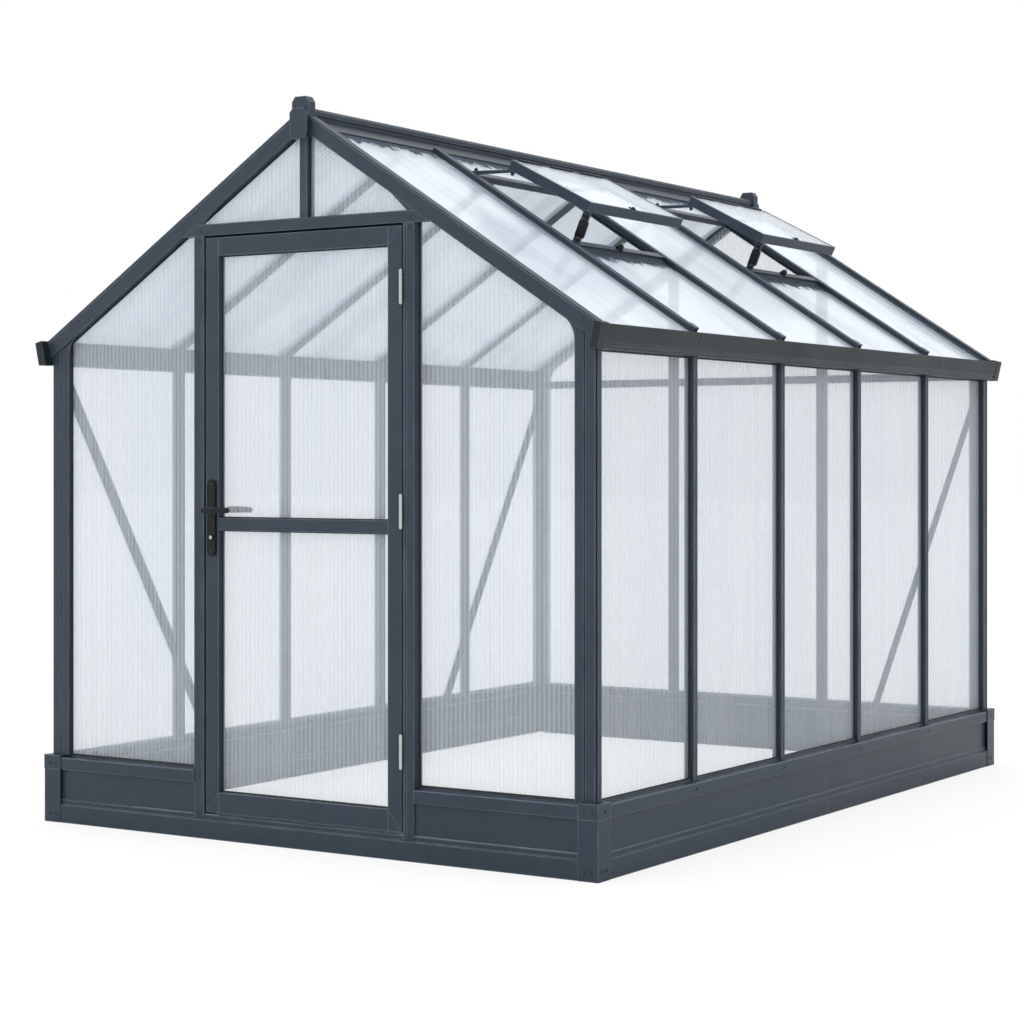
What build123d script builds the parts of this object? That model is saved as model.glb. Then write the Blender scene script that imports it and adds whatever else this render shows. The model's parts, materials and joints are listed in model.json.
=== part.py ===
from build123d import *
import math
import os

# Overall sizes of the greenhouse. X runs along the front, Y front to back, Z up.
base_width = 2165.0
base_length = 3120.0
base_height = 218.0
bay_count = 5
roof_apex_height = 2311.0
eave_inset = 19.5
eave_height = 1623.0

# General clearances.
seat_gap = 0.3
cut_over = 1.0
cut_reach = 200.0
slide_gap = 1.0

# Folded base plates.
plate_thickness = 2.0
base_setback = 3.5
band_height = 60.0
step_height = 17.5
step_depth = 10.0
ledge_depth = 7.0
ledge_rise = 1.5
foot_flange = 32.0
panel_flange = 14.0
sill_height = 40.0
sill_depth = 56.0
sill_wall = 3.0
sill_inner_drop = 18.0
sill_upstand = 7.0
sill_bevel = 2.0
corner_leg = 71.0
corner_inset = 1.2
corner_cap_wall = 3.2
splice_gap = 0.6

# Wall frame.
post_inset = 23.0
front_inset = 20.0
post_face = 69.0
post_depth = 36.0
post_arm = 38.0
post_strip = 34.0
post_groove = 4.0
post_groove_depth = 9.0
post_plate = 3.0
post_slot = 12.0
post_rabbet_room = 8.0
post_sheet_lap = 10.0
rib_width = 24.0
rib_depth = 19.0
rib_groove = 3.0
rib_bevel = 2.0
web_width = 6.0
sheet_thickness = 6.0
sheet_side_gap = 0.5
sheet_end_gap = 4.0
sheet_header_lap = 10.0
inner_flange_width = 50.0
inner_flange_thickness = 3.0

# Gutters.
gutter_proud = 21.0
gutter_lean = 16.0
gutter_tuck = 35.5
gutter_drop = 16.0
gutter_height = 72.0
gutter_overhang = 19.0
gutter_wall = 2.5
gutter_lip = 4.0
gutter_bead = 3.0
gutter_bead_rises = (20.0, 16.0, 12.0, 8.0)
end_cap_width = 29.0
end_cap_crown = 9.0
end_cap_depth = 41.0
end_cap_proud = 1.8

# Roof.
verge_depth = 52.0
verge_front = 14.0
verge_lip = 4.0
verge_lip_height = 7.0
verge_reach = 62.0
verge_seat_lap = 10.0
verge_seat_set = 4.0
verge_seat_rise = 5.0
ridge_rise = 5.0
ridge_head_half = 24.0
ridge_crown_inset = 6.0
ridge_crown_drop = 4.0
ridge_edge_inset = 2.0
ridge_edge_drop = 7.0
ridge_lip_drop = 1.0
ridge_face_height = 22.0
ridge_head_height = 48.0
ridge_neck_half = 16.0
ridge_neck_drop = 85.0
ridge_wing_end = 98.0
ridge_wing_thickness = 5.0
ridge_cap_half = 33.0
ridge_cap_rise = 39.0
ridge_cap_shoulder = 17.0
ridge_cap_bevel = 12.0
ridge_cap_depth = 34.0
shield_half = 33.0
shield_height = 96.0
shield_shoulder = 12.5
shield_thickness = 12.0
shield_proud = 6.0
shield_rise = 1.0
shield_taper = 5.0
shield_taper_height = 26.0
shield_round = 5.0

# Roof vents, static and open.
vent_bays = (1, 3)
vent_opening_top = 262.0
vent_opening_bottom = 725.0
crossbar_front = 18.0
crossbar_back = 8.0
crossbar_lap = 22.0
crossbar_top = -3.0
crossbar_rise = 4.0
vent_panel_top = 386.0
vent_panel_length = 340.0
vent_lift_top = 76.0
vent_lift_bottom = 107.0
vent_frame_face = 20.0
vent_frame_depth = 34.0
vent_rim = 7.0
vent_rim_height = 1.5
vent_stay_width = 28.0
vent_arm_width = 22.0
vent_arm_thickness = 8.0

# Doorway and door leaf.
leaf_half_width = 384.0
leaf_bottom = 85.5
header_rise = 1.542
leaf_front = 10.0
leaf_thickness = 30.0
leaf_gap = 7.0
jamb_face = 41.0
jamb_depth = 44.0
jamb_front = 8.0
jamb_groove_inset = 8.0
jamb_groove_width = 4.0
jamb_groove_depth = 4.0
header_height = 36.0
header_clearance = 8.0
header_set = 2.0
king_post_width = 29.0
stile_width = 51.0
top_rail_height = 58.0
bottom_rail_height = 66.0
mid_rail_height = 40.0
mid_rail_share = 0.513
door_sheet_recess = 22.0
mitre_width = 1.2
mitre_depth = 0.8
slot_end_inset = 20.0
threshold_gap = 5.2
rear_post_share = 0.33
tie_thickness = 18.0
tie_height = 32.0

# Hinges.
hinge_bottom_rise = 244.5
hinge_middle_rise = 28.0
hinge_top_drop = 187.0
hinge_length = 102.0
knuckle_radius = 6.0
hinge_pin_radius = 3.0
pin_clearance = 0.06
hinge_pin_inset = 2.0
hinge_leaf_thickness = 1.6
hinge_leaf_width = 28.0

# Handle.
lever_rise = 25.0
plate_length = 246.0
plate_width = 35.0
plate_depth = 7.0
lock_drop = 88.0
lever_length = 106.0
lever_reach = 46.0
lever_thickness = 12.0
lever_root_half = 9.0
lever_tip_high = 6.0
lever_tip_low = 8.0
lever_tip_run = 8.0
hub_radius = 10.0
hub_hole_clearance = 0.3
lock_proud = 2.0

# Values that follow from the sizes above.
half_width = base_width / 2
half_length = base_length / 2
front_y = -half_length
eave_x = half_width - eave_inset
slope = math.atan2(roof_apex_height - eave_height, eave_x)
post_outer_x = half_width - post_inset
post_front_y = front_y + front_inset
sheet_outer_x = post_outer_x - rib_depth
sheet_front_y = post_front_y + rib_depth
post_rabbet_depth = sheet_thickness + post_rabbet_room
bay_pitch = (base_length - 2 * front_inset) / bay_count
post_lines = [post_front_y + bay_pitch * step for step in range(1, bay_count)]
sheet_level = -rib_depth
under_sheet = sheet_level - sheet_thickness
flange_top_level = under_sheet - seat_gap
flange_bottom_level = flange_top_level - inner_flange_thickness
verge_length = eave_x / math.cos(slope)
jamb_inner = leaf_half_width + leaf_gap
jamb_outer = jamb_inner + jamb_face
# The header meets the jambs under the rafters, so the door is as tall as the roof allows.
rafter_corner = roof_apex_height - jamb_outer * math.tan(slope) - verge_depth / math.cos(slope)
header_top = rafter_corner + header_rise
header_bottom = header_top - header_height
leaf_top = header_bottom - header_clearance
ridge_top = roof_apex_height + ridge_rise
ridge_head_bottom = ridge_top - ridge_head_height
ridge_neck_bottom = roof_apex_height - ridge_neck_drop
gutter_outer_x = half_width + gutter_proud
gutter_inner_x = post_outer_x - gutter_tuck
gutter_top = eave_height - gutter_drop
gutter_bottom = gutter_top - gutter_height
mid_rail_top = leaf_bottom + mid_rail_share * (leaf_top - leaf_bottom)
lever_height = mid_rail_top + lever_rise
rear_post_x = rear_post_share * post_outer_x
ledge_height = band_height + ledge_rise
strip_top = band_height + step_height
upstand_depth = front_inset + rib_depth - base_setback - sill_wall - seat_gap
pin_x = leaf_half_width + leaf_gap / 2
pin_y = front_y + hinge_pin_inset
stile_centre = leaf_half_width - stile_width / 2
wall_foot = base_height + sill_upstand


def roof_point(along, level):
    """Place in the X-Z section: distance down the right slope and height off it."""
    x = along * math.cos(slope) + level * math.sin(slope)
    z = roof_apex_height - along * math.sin(slope) + level * math.cos(slope)
    return (x, z)


def roof_height(x, level):
    """Height of a roof layer above the ground at a distance from the centre line."""
    return roof_apex_height - abs(x) * math.tan(slope) + level / math.cos(slope)


def section_y(y_back):
    """Plane across the building, looking along it; extrusions run to the front."""
    return Plane(origin=(0, y_back, 0), x_dir=(1, 0, 0), z_dir=(0, -1, 0))


def prism(plane, outline, depth, mode=Mode.ADD):
    with BuildSketch(plane) as section:
        with BuildLine():
            Polyline(*outline, close=True)
        make_face()
    extrude(section.sketch, amount=depth, mode=mode)


def folded(plane, path, thickness, depth):
    with BuildSketch(plane) as section:
        with BuildLine():
            Polyline(*path)
            offset(amount=thickness, side=Side.LEFT, kind=Kind.INTERSECTION)
        make_face()
    extrude(section.sketch, amount=depth)


def block(x_range, y_range, z_range, mode=Mode.ADD):
    centre = [(low + high) / 2 for low, high in (x_range, y_range, z_range)]
    sizes = [high - low for low, high in (x_range, y_range, z_range)]
    with Locations(tuple(centre)):
        Box(*sizes, mode=mode)


def base_profile():
    """Pressed base plate, outside first: distance in from the face, height."""
    panel_top = base_height - sill_height - seat_gap
    return [
        (foot_flange, 0.0),
        (0.0, 0.0),
        (0.0, band_height),
        (ledge_depth, ledge_height),
        (ledge_depth, strip_top - ledge_rise),
        (step_depth, strip_top),
        (step_depth, panel_top),
        (step_depth + panel_flange, panel_top),
    ]


def sill_profile():
    """Sill rail over the base plate, with the lip that holds the foot of the sheets."""
    low = base_height - sill_height
    return [
        (step_depth, low),
        (0.0, low),
        (0.0, base_height - sill_bevel),
        (sill_bevel, base_height),
        (upstand_depth, base_height),
        (upstand_depth, base_height + sill_upstand),
        (upstand_depth + sill_wall, base_height + sill_upstand),
        (upstand_depth + sill_wall, base_height),
        (sill_depth, base_height),
        (sill_depth, base_height - sill_inner_drop),
        (sill_depth - sill_wall, base_height - sill_inner_drop),
        (sill_depth - sill_wall, base_height - sill_wall),
        (sill_wall, base_height - sill_wall),
        (sill_wall, low + sill_wall),
        (step_depth, low + sill_wall),
    ]


def post_profile():
    """Slotted corner post: face along X from the outer edge, depth in from the front."""
    groove_end = post_strip + post_groove
    slot_end = post_plate + post_slot
    rib_back = rib_depth - seat_gap
    rabbet_face = post_face - post_rabbet_depth
    rabbet_side = rib_back + post_rabbet_depth
    lap_start = post_arm - post_sheet_lap
    return [
        (0.0, 0.0),
        (post_strip, 0.0),
        (post_strip, post_groove_depth),
        (groove_end, post_groove_depth),
        (groove_end, 0.0),
        (post_face, 0.0),
        (post_face, rib_back),
        (rabbet_face, rib_back),
        (rabbet_face, post_depth),
        (rabbet_side, post_depth),
        (rabbet_side, lap_start),
        (rib_back, lap_start),
        (rib_back, post_arm),
        (0.0, post_arm),
        (0.0, slot_end),
        (post_slot, slot_end),
        (post_slot, post_plate),
        (0.0, post_plate),
    ]


def glazing_bar_profile(face_width):
    """Bar between two sheets: across, and out from the face of the rib inwards."""
    half_rib = face_width / 2
    half_web = web_width / 2
    half_flange = inner_flange_width / 2
    rib_back = rib_depth - seat_gap
    flange_front = rib_depth + sheet_thickness + seat_gap
    flange_back = flange_front + inner_flange_thickness
    half_profile = [
        (rib_groove, rib_groove),
        (rib_groove, 0.0),
        (half_rib - rib_bevel, 0.0),
        (half_rib, rib_bevel),
        (half_rib, rib_back),
        (half_web, rib_back),
        (half_web, flange_front),
        (half_flange, flange_front),
        (half_flange, flange_back),
    ]
    return half_profile + [(-across, out) for across, out in reversed(half_profile)]


os.makedirs("parts", exist_ok=True)


def save(builder, label):
    """Name a finished piece and write it as its own file."""
    builder.part.label = label
    export_step(builder.part, f"parts/{label}.step")


# Base plates: one folded profile per wall, the side ones in two lengths.
side_run = half_length - base_setback - seat_gap
front_run = half_width - base_setback - sill_depth - seat_gap
base_points = [(-depth, height) for depth, height in base_profile()]
skirt_points = base_points[:6]
panel_points = [(-step_depth, strip_top + seat_gap)] + base_points[6:]
sill_points = [(-depth, height) for depth, height in sill_profile()]


def wall_plane(outward, start):
    """Upright plane across a wall, X pointing out of it, at the start of a run."""
    out = Vector(*outward)
    along = out.cross(Vector(0, 0, 1))
    reach = half_length if abs(out.Y) > 0.5 else half_width
    return Plane(
        origin=out * (reach - base_setback) + along * start,
        x_dir=out,
        z_dir=along,
    )


front = (0, -1, 0)
rear = (0, 1, 0)
right = (1, 0, 0)
left = (-1, 0, 0)

with BuildPart() as base_front_skirt:
    folded(wall_plane(front, -front_run), skirt_points, plate_thickness, 2 * front_run)
save(base_front_skirt, "base_front_skirt")

panel_run = front_run - jamb_outer - seat_gap
with BuildPart() as base_front_panels:
    folded(wall_plane(front, -front_run), panel_points, plate_thickness, panel_run)
    folded(wall_plane(front, front_run - panel_run), panel_points, plate_thickness, panel_run)
save(base_front_panels, "base_front_panels")

with BuildPart() as base_rear:
    folded(wall_plane(rear, -front_run), base_points, plate_thickness, 2 * front_run)
save(base_rear, "base_rear")

half_side = side_run - splice_gap / 2
for outward, side_name in ((left, "base_left"), (right, "base_right")):
    with BuildPart() as base_side:
        folded(wall_plane(outward, -side_run), base_points, plate_thickness, half_side)
        folded(wall_plane(outward, splice_gap / 2), base_points, plate_thickness, half_side)
    save(base_side, side_name)



def corner_angle(side_x, side_y, outer, inner, low, high):
    """Angle round a corner of the base, between two insets and two heights."""
    corner = Plane(origin=(side_x * half_width, side_y * half_length, low))
    outline = [
        (outer, outer),
        (corner_leg, outer),
        (corner_leg, inner),
        (inner, inner),
        (inner, corner_leg),
        (outer, corner_leg),
    ]
    points = [(-side_x * across, -side_y * back) for across, back in outline]
    prism(corner, points, high - low)


sill_low = base_height - sill_height
lid_reach = base_setback + upstand_depth - seat_gap
with BuildPart() as base_corners:
    for side_x in (-1, 1):
        for side_y in (-1, 1):
            inner = corner_inset + plate_thickness
            corner_angle(side_x, side_y, corner_inset, inner, 0.0, sill_low - seat_gap)
            corner_angle(side_x, side_y, 0.0, corner_cap_wall, sill_low, wall_foot)
            corner_angle(side_x, side_y, 0.0, lid_reach, base_height + seat_gap, wall_foot)
save(base_corners, "base_corners")

with BuildPart() as gable_sills:
    prism(wall_plane(front, -front_run), sill_points, panel_run)
    prism(wall_plane(front, front_run - panel_run), sill_points, panel_run)
    prism(wall_plane(rear, -front_run), sill_points, 2 * front_run)
save(gable_sills, "gable_sills")

with BuildPart() as side_sills:
    for outward in (left, right):
        prism(wall_plane(outward, -side_run), sill_points, 2 * side_run)
    for side_y in (-1, 1):
        ends = (side_y * (half_length - lid_reach - seat_gap), side_y * half_length)
        block(
            (-half_width, half_width),
            tuple(sorted(ends)),
            (base_height, wall_foot + 1.0),
            Mode.SUBTRACT,
        )
save(side_sills, "side_sills")

with BuildPart() as door_threshold:
    block(
        (-jamb_inner + seat_gap, jamb_inner - seat_gap),
        (front_y + base_setback + step_depth + seat_gap, front_y + jamb_depth),
        (strip_top + seat_gap, leaf_bottom - threshold_gap),
    )
    block(
        (-jamb_inner + jamb_face, jamb_inner - jamb_face),
        (front_y + base_setback + foot_flange + seat_gap, front_y + jamb_depth),
        (0.0, strip_top + seat_gap),
    )
save(door_threshold, "door_threshold")


# Upright frame: corner posts, wall bars, door jambs, header and king post.
post_foot = wall_foot + seat_gap
post_top = gutter_bottom - seat_gap


def under_roof(level):
    """Everything above a roof layer, as a section to cut away."""
    reach = half_width + cut_reach
    high = roof_apex_height + 2 * cut_reach
    return [
        (0, roof_height(0, level)),
        (reach, roof_height(reach, level)),
        (reach, high),
        (-reach, high),
        (-reach, roof_height(reach, level)),
    ]


def trim_to_roof(level):
    cut_start = half_length + cut_reach
    prism(section_y(cut_start), under_roof(level), 2 * cut_start, Mode.SUBTRACT)


with BuildPart() as corner_posts:
    for side_x in (-1, 1):
        for side_y in (-1, 1):
            foot = Plane(origin=(0, 0, post_foot))
            outline = [
                (side_x * (post_outer_x - across), side_y * (half_length - front_inset - depth))
                for across, depth in post_profile()
            ]
            prism(foot, outline, eave_height - post_foot)
    trim_to_roof(-verge_depth - seat_gap)
save(corner_posts, "corner_posts")


bar_foot = base_height + seat_gap
notch_edges = (
    base_setback + upstand_depth - seat_gap,
    base_setback + upstand_depth + sill_wall + seat_gap,
)


def side_posts(side_x):
    with BuildPart() as posts:
        for line_y in post_lines:
            outline = [
                (side_x * (post_outer_x - out), line_y + across)
                for across, out in glazing_bar_profile(rib_width)
            ]
            prism(Plane(origin=(0, 0, bar_foot)), outline, post_top - bar_foot)
        notch = [side_x * (half_width - inset) for inset in notch_edges]
        block(
            tuple(sorted(notch)),
            (-half_length, half_length),
            (bar_foot - cut_over, post_foot),
            Mode.SUBTRACT,
        )
    return posts


save(side_posts(-1), "side_posts_left")
save(side_posts(1), "side_posts_right")

jamb_foot = ledge_height + seat_gap
groove_start = jamb_inner + jamb_groove_inset
groove_end = groove_start + jamb_groove_width
with BuildPart() as door_jambs:
    for side_x in (-1, 1):
        jamb_face_y = front_y + jamb_front
        outline = [
            (side_x * jamb_inner, jamb_face_y),
            (side_x * groove_start, jamb_face_y),
            (side_x * groove_start, jamb_face_y + jamb_groove_depth),
            (side_x * groove_end, jamb_face_y + jamb_groove_depth),
            (side_x * groove_end, jamb_face_y),
            (side_x * jamb_outer, jamb_face_y),
            (side_x * jamb_outer, jamb_face_y + jamb_depth),
            (side_x * jamb_inner, jamb_face_y + jamb_depth),
        ]
        prism(Plane(origin=(0, 0, jamb_foot)), outline, header_bottom - seat_gap - jamb_foot)
    block(
        (-half_width, half_width),
        (front_y + base_setback + ledge_depth - seat_gap, 0.0),
        (0.0, strip_top + seat_gap),
        Mode.SUBTRACT,
    )
save(door_jambs, "door_jambs")

header_front = front_y + verge_front - header_set
with BuildPart() as door_header:
    outline = [
        (header_front, header_bottom),
        (sheet_front_y - seat_gap, header_bottom),
        (sheet_front_y - seat_gap, header_top),
        (header_front, header_top),
    ]
    reach = half_width / 2
    prism(Plane(origin=(-reach, 0, 0), x_dir=(0, 1, 0), z_dir=(1, 0, 0)), outline, 2 * reach)
    trim_to_roof(-verge_depth - seat_gap)
save(door_header, "door_header")

with BuildPart() as king_post:
    outline = [
        (across, front_y + front_inset + out)
        for across, out in glazing_bar_profile(king_post_width)
    ]
    prism(
        Plane(origin=(0, 0, header_top + seat_gap)),
        outline,
        ridge_neck_bottom - header_top - 2 * seat_gap,
    )
save(king_post, "king_post")

post_rabbet = post_outer_x - post_face + post_rabbet_depth - seat_gap
with BuildPart() as rear_posts:
    for side_x in (-1, 1):
        outline = [
            (side_x * rear_post_x + across, half_length - front_inset - out)
            for across, out in glazing_bar_profile(rib_width)
        ]
        prism(Plane(origin=(0, 0, bar_foot)), outline, roof_apex_height - bar_foot)
    block(
        (-half_width, half_width),
        (half_length - notch_edges[1], half_length - notch_edges[0]),
        (bar_foot - cut_over, post_foot),
        Mode.SUBTRACT,
    )
    trim_to_roof(-verge_depth - seat_gap)
save(rear_posts, "rear_posts")

flange_depth = front_inset + rib_depth + sheet_thickness + seat_gap + inner_flange_thickness
tie_back = half_length - flange_depth - seat_gap
with BuildPart() as rear_tie:
    block(
        (-post_rabbet, post_rabbet),
        (tie_back - tie_thickness, tie_back),
        (gutter_bottom, gutter_bottom + tie_height),
    )
save(rear_tie, "rear_tie")


# Eaves: leaning gutter troughs with a bead near the foot, and slanted end caps.
cap_end = half_length + gutter_overhang
gutter_start = cap_end - end_cap_depth - seat_gap
gutter_inner_top = roof_height(gutter_inner_x + gutter_wall, flange_bottom_level - seat_gap)


def gutter_face(rise):
    return gutter_outer_x - gutter_lean * (1 - rise / gutter_height)


def cap_edge(rise, gap):
    """Inner edge of an end cap, parallel to the face of the gutter."""
    return gutter_face(rise) + end_cap_proud - end_cap_width - gap


def beyond_caps(side_x, toward):
    """Section on one side of the caps' inner edge: outwards (1) or inwards (-1)."""
    low_rise = -verge_depth
    high_rise = gutter_height + verge_depth
    gap = seat_gap if toward > 0 else 0.0
    far = toward * base_width
    points = [
        (cap_edge(low_rise, gap), gutter_bottom + low_rise),
        (cap_edge(high_rise, gap), gutter_bottom + high_rise),
        (cap_edge(high_rise, gap) + far, gutter_bottom + high_rise),
        (cap_edge(low_rise, gap) + far, gutter_bottom + low_rise),
    ]
    return [(side_x * x, z) for x, z in points]


bead_top, bead_high, bead_low, bead_foot = gutter_bead_rises
gutter_path = [
    (gutter_face(gutter_height) - gutter_lip, gutter_top),
    (gutter_face(gutter_height), gutter_top),
    (gutter_face(bead_top), gutter_bottom + bead_top),
    (gutter_face(bead_high) - gutter_bead, gutter_bottom + bead_high),
    (gutter_face(bead_low) - gutter_bead, gutter_bottom + bead_low),
    (gutter_face(bead_foot), gutter_bottom + bead_foot),
    (gutter_face(0.0), gutter_bottom),
    (gutter_inner_x, gutter_bottom),
    (gutter_inner_x, gutter_inner_top),
]


rafter_back = front_inset + rib_depth - seat_gap


def gutter(side_x):
    with BuildPart() as trough:
        with BuildSketch(section_y(gutter_start)) as section:
            with BuildLine():
                Polyline(*[(side_x * x, z) for x, z in gutter_path])
                wall_side = Side.RIGHT if side_x > 0 else Side.LEFT
                offset(amount=gutter_wall, side=wall_side, kind=Kind.INTERSECTION)
            make_face()
        extrude(section.sketch, amount=2 * gutter_start)
        tail = rafter_back + seat_gap - (half_length - gutter_start)
        prism(section_y(gutter_start), beyond_caps(side_x, -1), tail, Mode.SUBTRACT)
        prism(section_y(-gutter_start + tail), beyond_caps(side_x, -1), tail, Mode.SUBTRACT)
        for end in (-1, 1):
            inner = (gutter_inner_x - gutter_wall, post_outer_x + seat_gap)
            post_back = half_length - front_inset - post_arm - seat_gap
            block(
                tuple(sorted(side_x * x for x in inner)),
                tuple(sorted((end * half_length, end * post_back))),
                (gutter_bottom - gutter_wall, gutter_inner_top + post_arm),
                Mode.SUBTRACT,
            )
    return trough


save(gutter(-1), "gutter_left")
save(gutter(1), "gutter_right")

with BuildPart() as gutter_end_caps:
    for side_x in (-1, 1):
        for side_y in (-1, 1):
            cap_low = -end_cap_proud
            cap_high = gutter_height + end_cap_proud
            crown = gutter_height + end_cap_crown
            outline = [
                (gutter_face(cap_high) + end_cap_proud, gutter_bottom + cap_high),
                (cap_edge(crown, 0.0), gutter_bottom + crown),
                (cap_edge(cap_low, 0.0), gutter_bottom + cap_low),
                (gutter_face(cap_low) + end_cap_proud, gutter_bottom + cap_low),
            ]
            back = cap_end if side_y > 0 else -cap_end + end_cap_depth
            prism(section_y(back), [(side_x * x, z) for x, z in outline], end_cap_depth)
save(gutter_end_caps, "gutter_end_caps")


# Ridge beam with the wings that cover the top ends of the roof sheets.
wing_low = sheet_level + seat_gap
wing_high = wing_low + ridge_wing_thickness
ridge_lip_bottom = ridge_top - ridge_face_height
ridge_face = [
    (ridge_head_half - ridge_crown_inset, ridge_top),
    (ridge_head_half - ridge_edge_inset, ridge_top - ridge_crown_drop),
    (ridge_head_half - ridge_edge_inset, ridge_top - ridge_edge_drop),
    (ridge_head_half, ridge_top - ridge_edge_drop - ridge_lip_drop),
    (ridge_head_half, ridge_lip_bottom),
    (ridge_neck_half, ridge_lip_bottom - ridge_lip_drop),
]
ridge_foot = [(ridge_neck_half, ridge_neck_bottom)]
ridge_wing = [
    (ridge_neck_half, roof_height(ridge_neck_half, wing_high)),
    roof_point(ridge_wing_end, wing_high),
    roof_point(ridge_wing_end, wing_low),
    (ridge_neck_half, roof_height(ridge_neck_half, wing_low)),
]
ridge_core = ridge_face + ridge_foot
ridge_half = ridge_face + ridge_wing + ridge_foot
verge_web_end = half_length - verge_reach
shield_front = half_length + shield_proud
ridge_end = shield_front - shield_thickness


def both_halves(half):
    return half + [(-x, z) for x, z in reversed(half)]


with BuildPart() as ridge_beam:
    prism(section_y(ridge_end - seat_gap), both_halves(ridge_core), 2 * (ridge_end - seat_gap))
    prism(section_y(verge_web_end), both_halves(ridge_half), 2 * verge_web_end)
save(ridge_beam, "ridge_beam")

ridge_cap_top = roof_apex_height + ridge_cap_rise
cap_foot = roof_height(ridge_cap_half, seat_gap)
cap_root = roof_height(ridge_head_half + seat_gap, seat_gap)
cap_half = [
    (ridge_cap_half - ridge_cap_bevel, ridge_cap_top),
    (ridge_cap_half, ridge_cap_top - ridge_cap_shoulder),
    (ridge_cap_half, cap_foot),
    (ridge_head_half + seat_gap, cap_root),
    (ridge_head_half + seat_gap, ridge_top + seat_gap),
]
shield_low = roof_apex_height + shield_rise - shield_height
shield_half_outline = [
    (shield_half - shield_shoulder, shield_low + shield_height),
    (shield_half, shield_low + shield_height - shield_shoulder),
    (shield_half, shield_low + shield_taper_height),
    (shield_half - shield_taper, shield_low),
]
with BuildPart() as ridge_end_caps:
    for side_y in (-1, 1):
        front_face = ridge_end - seat_gap
        cap_back = front_face if side_y > 0 else -front_face + ridge_cap_depth
        prism(section_y(cap_back), both_halves(cap_half), ridge_cap_depth)
        back = shield_front if side_y > 0 else -shield_front + shield_thickness
        with BuildSketch(section_y(back)) as shield:
            with BuildLine():
                Polyline(*both_halves(shield_half_outline), close=True)
            make_face()
            fillet(shield.vertices().group_by(Axis.Z)[0], radius=shield_round)
        extrude(shield.sketch, amount=shield_thickness)
save(ridge_end_caps, "ridge_end_caps")


# Verge rafters: face plate, top lip and the rabbet for the end sheets.
verge_top_groove = (24.0, 30.0, 2.0)
sheet_seat_edge = 46.0
verge_section = [
    (verge_front - verge_lip, 0.0),
    (verge_front - verge_lip, -verge_lip_height),
    (verge_front, -verge_lip_height - 2.0),
    (verge_front, -verge_depth),
    (rafter_back, -verge_depth),
    (rafter_back, flange_bottom_level),
    (verge_reach, flange_bottom_level),
    (verge_reach, flange_top_level),
    (sheet_seat_edge, flange_top_level),
    (sheet_seat_edge, sheet_level + seat_gap),
    (sheet_seat_edge + verge_seat_lap, sheet_level + seat_gap),
    (sheet_seat_edge + verge_seat_lap, sheet_level + verge_seat_rise),
    (sheet_seat_edge - verge_seat_set, sheet_level + verge_seat_rise),
    (sheet_seat_edge - verge_seat_set, 0.0),
    (verge_top_groove[1], 0.0),
    (verge_top_groove[1], -verge_top_groove[2]),
    (verge_top_groove[0], -verge_top_groove[2]),
    (verge_top_groove[0], 0.0),
]


def slope_plane(side_x, along):
    """Plane across a roof slope: X runs front to back, Y stands off the slope."""
    x, z = roof_point(along, 0)
    down = (side_x * math.cos(slope), 0, -math.sin(slope))
    return Plane(origin=(side_x * x, 0, z), x_dir=(0, side_x, 0), z_dir=down)


with BuildPart() as verge_rafters:
    for side_y in (-1, 1):
        outline = [(side_y * (half_length - inset), level) for inset, level in verge_section]
        prism(slope_plane(1, -verge_depth), outline, verge_length + 2 * verge_depth)
    block(
        (-half_width, ridge_neck_half + seat_gap),
        (-half_length, half_length),
        (ridge_neck_bottom - verge_depth, ridge_top + verge_depth),
        Mode.SUBTRACT,
    )
    block(
        (-half_width, ridge_head_half + seat_gap),
        (-half_length, half_length),
        (ridge_head_bottom - seat_gap, ridge_top + verge_depth),
        Mode.SUBTRACT,
    )
    prism(section_y(half_length), beyond_caps(1, 1), base_length, Mode.SUBTRACT)
    mirror(about=Plane.YZ)
save(verge_rafters, "verge_rafters")


# Roof bars, stepped under the ridge wings.
sheet_start = (ridge_head_half + slide_gap - under_sheet * math.sin(slope)) / math.cos(slope)
bar_end = verge_length
bar_clear = ridge_wing_end + seat_gap


def roof_bars(side_x):
    with BuildPart() as bars:
        for line_y in post_lines:
            outline = [
                (side_x * line_y + across, -out)
                for across, out in glazing_bar_profile(rib_width)
            ]
            prism(slope_plane(side_x, sheet_start), outline, bar_end - sheet_start)
            relief = [
                (side_x * line_y - rib_width, sheet_level),
                (side_x * line_y + rib_width, sheet_level),
                (side_x * line_y + rib_width, rib_width),
                (side_x * line_y - rib_width, rib_width),
            ]
            prism(
                slope_plane(side_x, sheet_start - rib_width),
                relief,
                bar_clear - sheet_start + rib_width,
                Mode.SUBTRACT,
            )
    return bars


save(roof_bars(-1), "roof_bars_left")
save(roof_bars(1), "roof_bars_right")


# Sheets: twin-wall panels between the bars, edges held by the ribs and flanges.
edge_gap = web_width / 2 + sheet_side_gap
corner_edge = front_inset + post_arm - post_sheet_lap + seat_gap
bay_edges = [(-half_length + corner_edge)] + post_lines + [half_length - corner_edge]
verge_edge = half_length - sheet_seat_edge - seat_gap
roof_edges = [-verge_edge] + post_lines + [verge_edge]
sheet_foot = base_height + seat_gap
sheet_end = verge_length - sheet_end_gap


def bay_span(edges, bay):
    low = edges[bay] + (edge_gap if bay > 0 else 0.0)
    high = edges[bay + 1] - (edge_gap if bay < bay_count - 1 else 0.0)
    return low, high


def side_sheets(side_x):
    across = (side_x * (sheet_outer_x - sheet_thickness), side_x * sheet_outer_x)
    with BuildPart() as sheets:
        for bay in range(bay_count):
            block(tuple(sorted(across)), bay_span(bay_edges, bay), (sheet_foot, post_top))
    return sheets


save(side_sheets(-1), "side_sheets_left")
save(side_sheets(1), "side_sheets_right")

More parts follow.
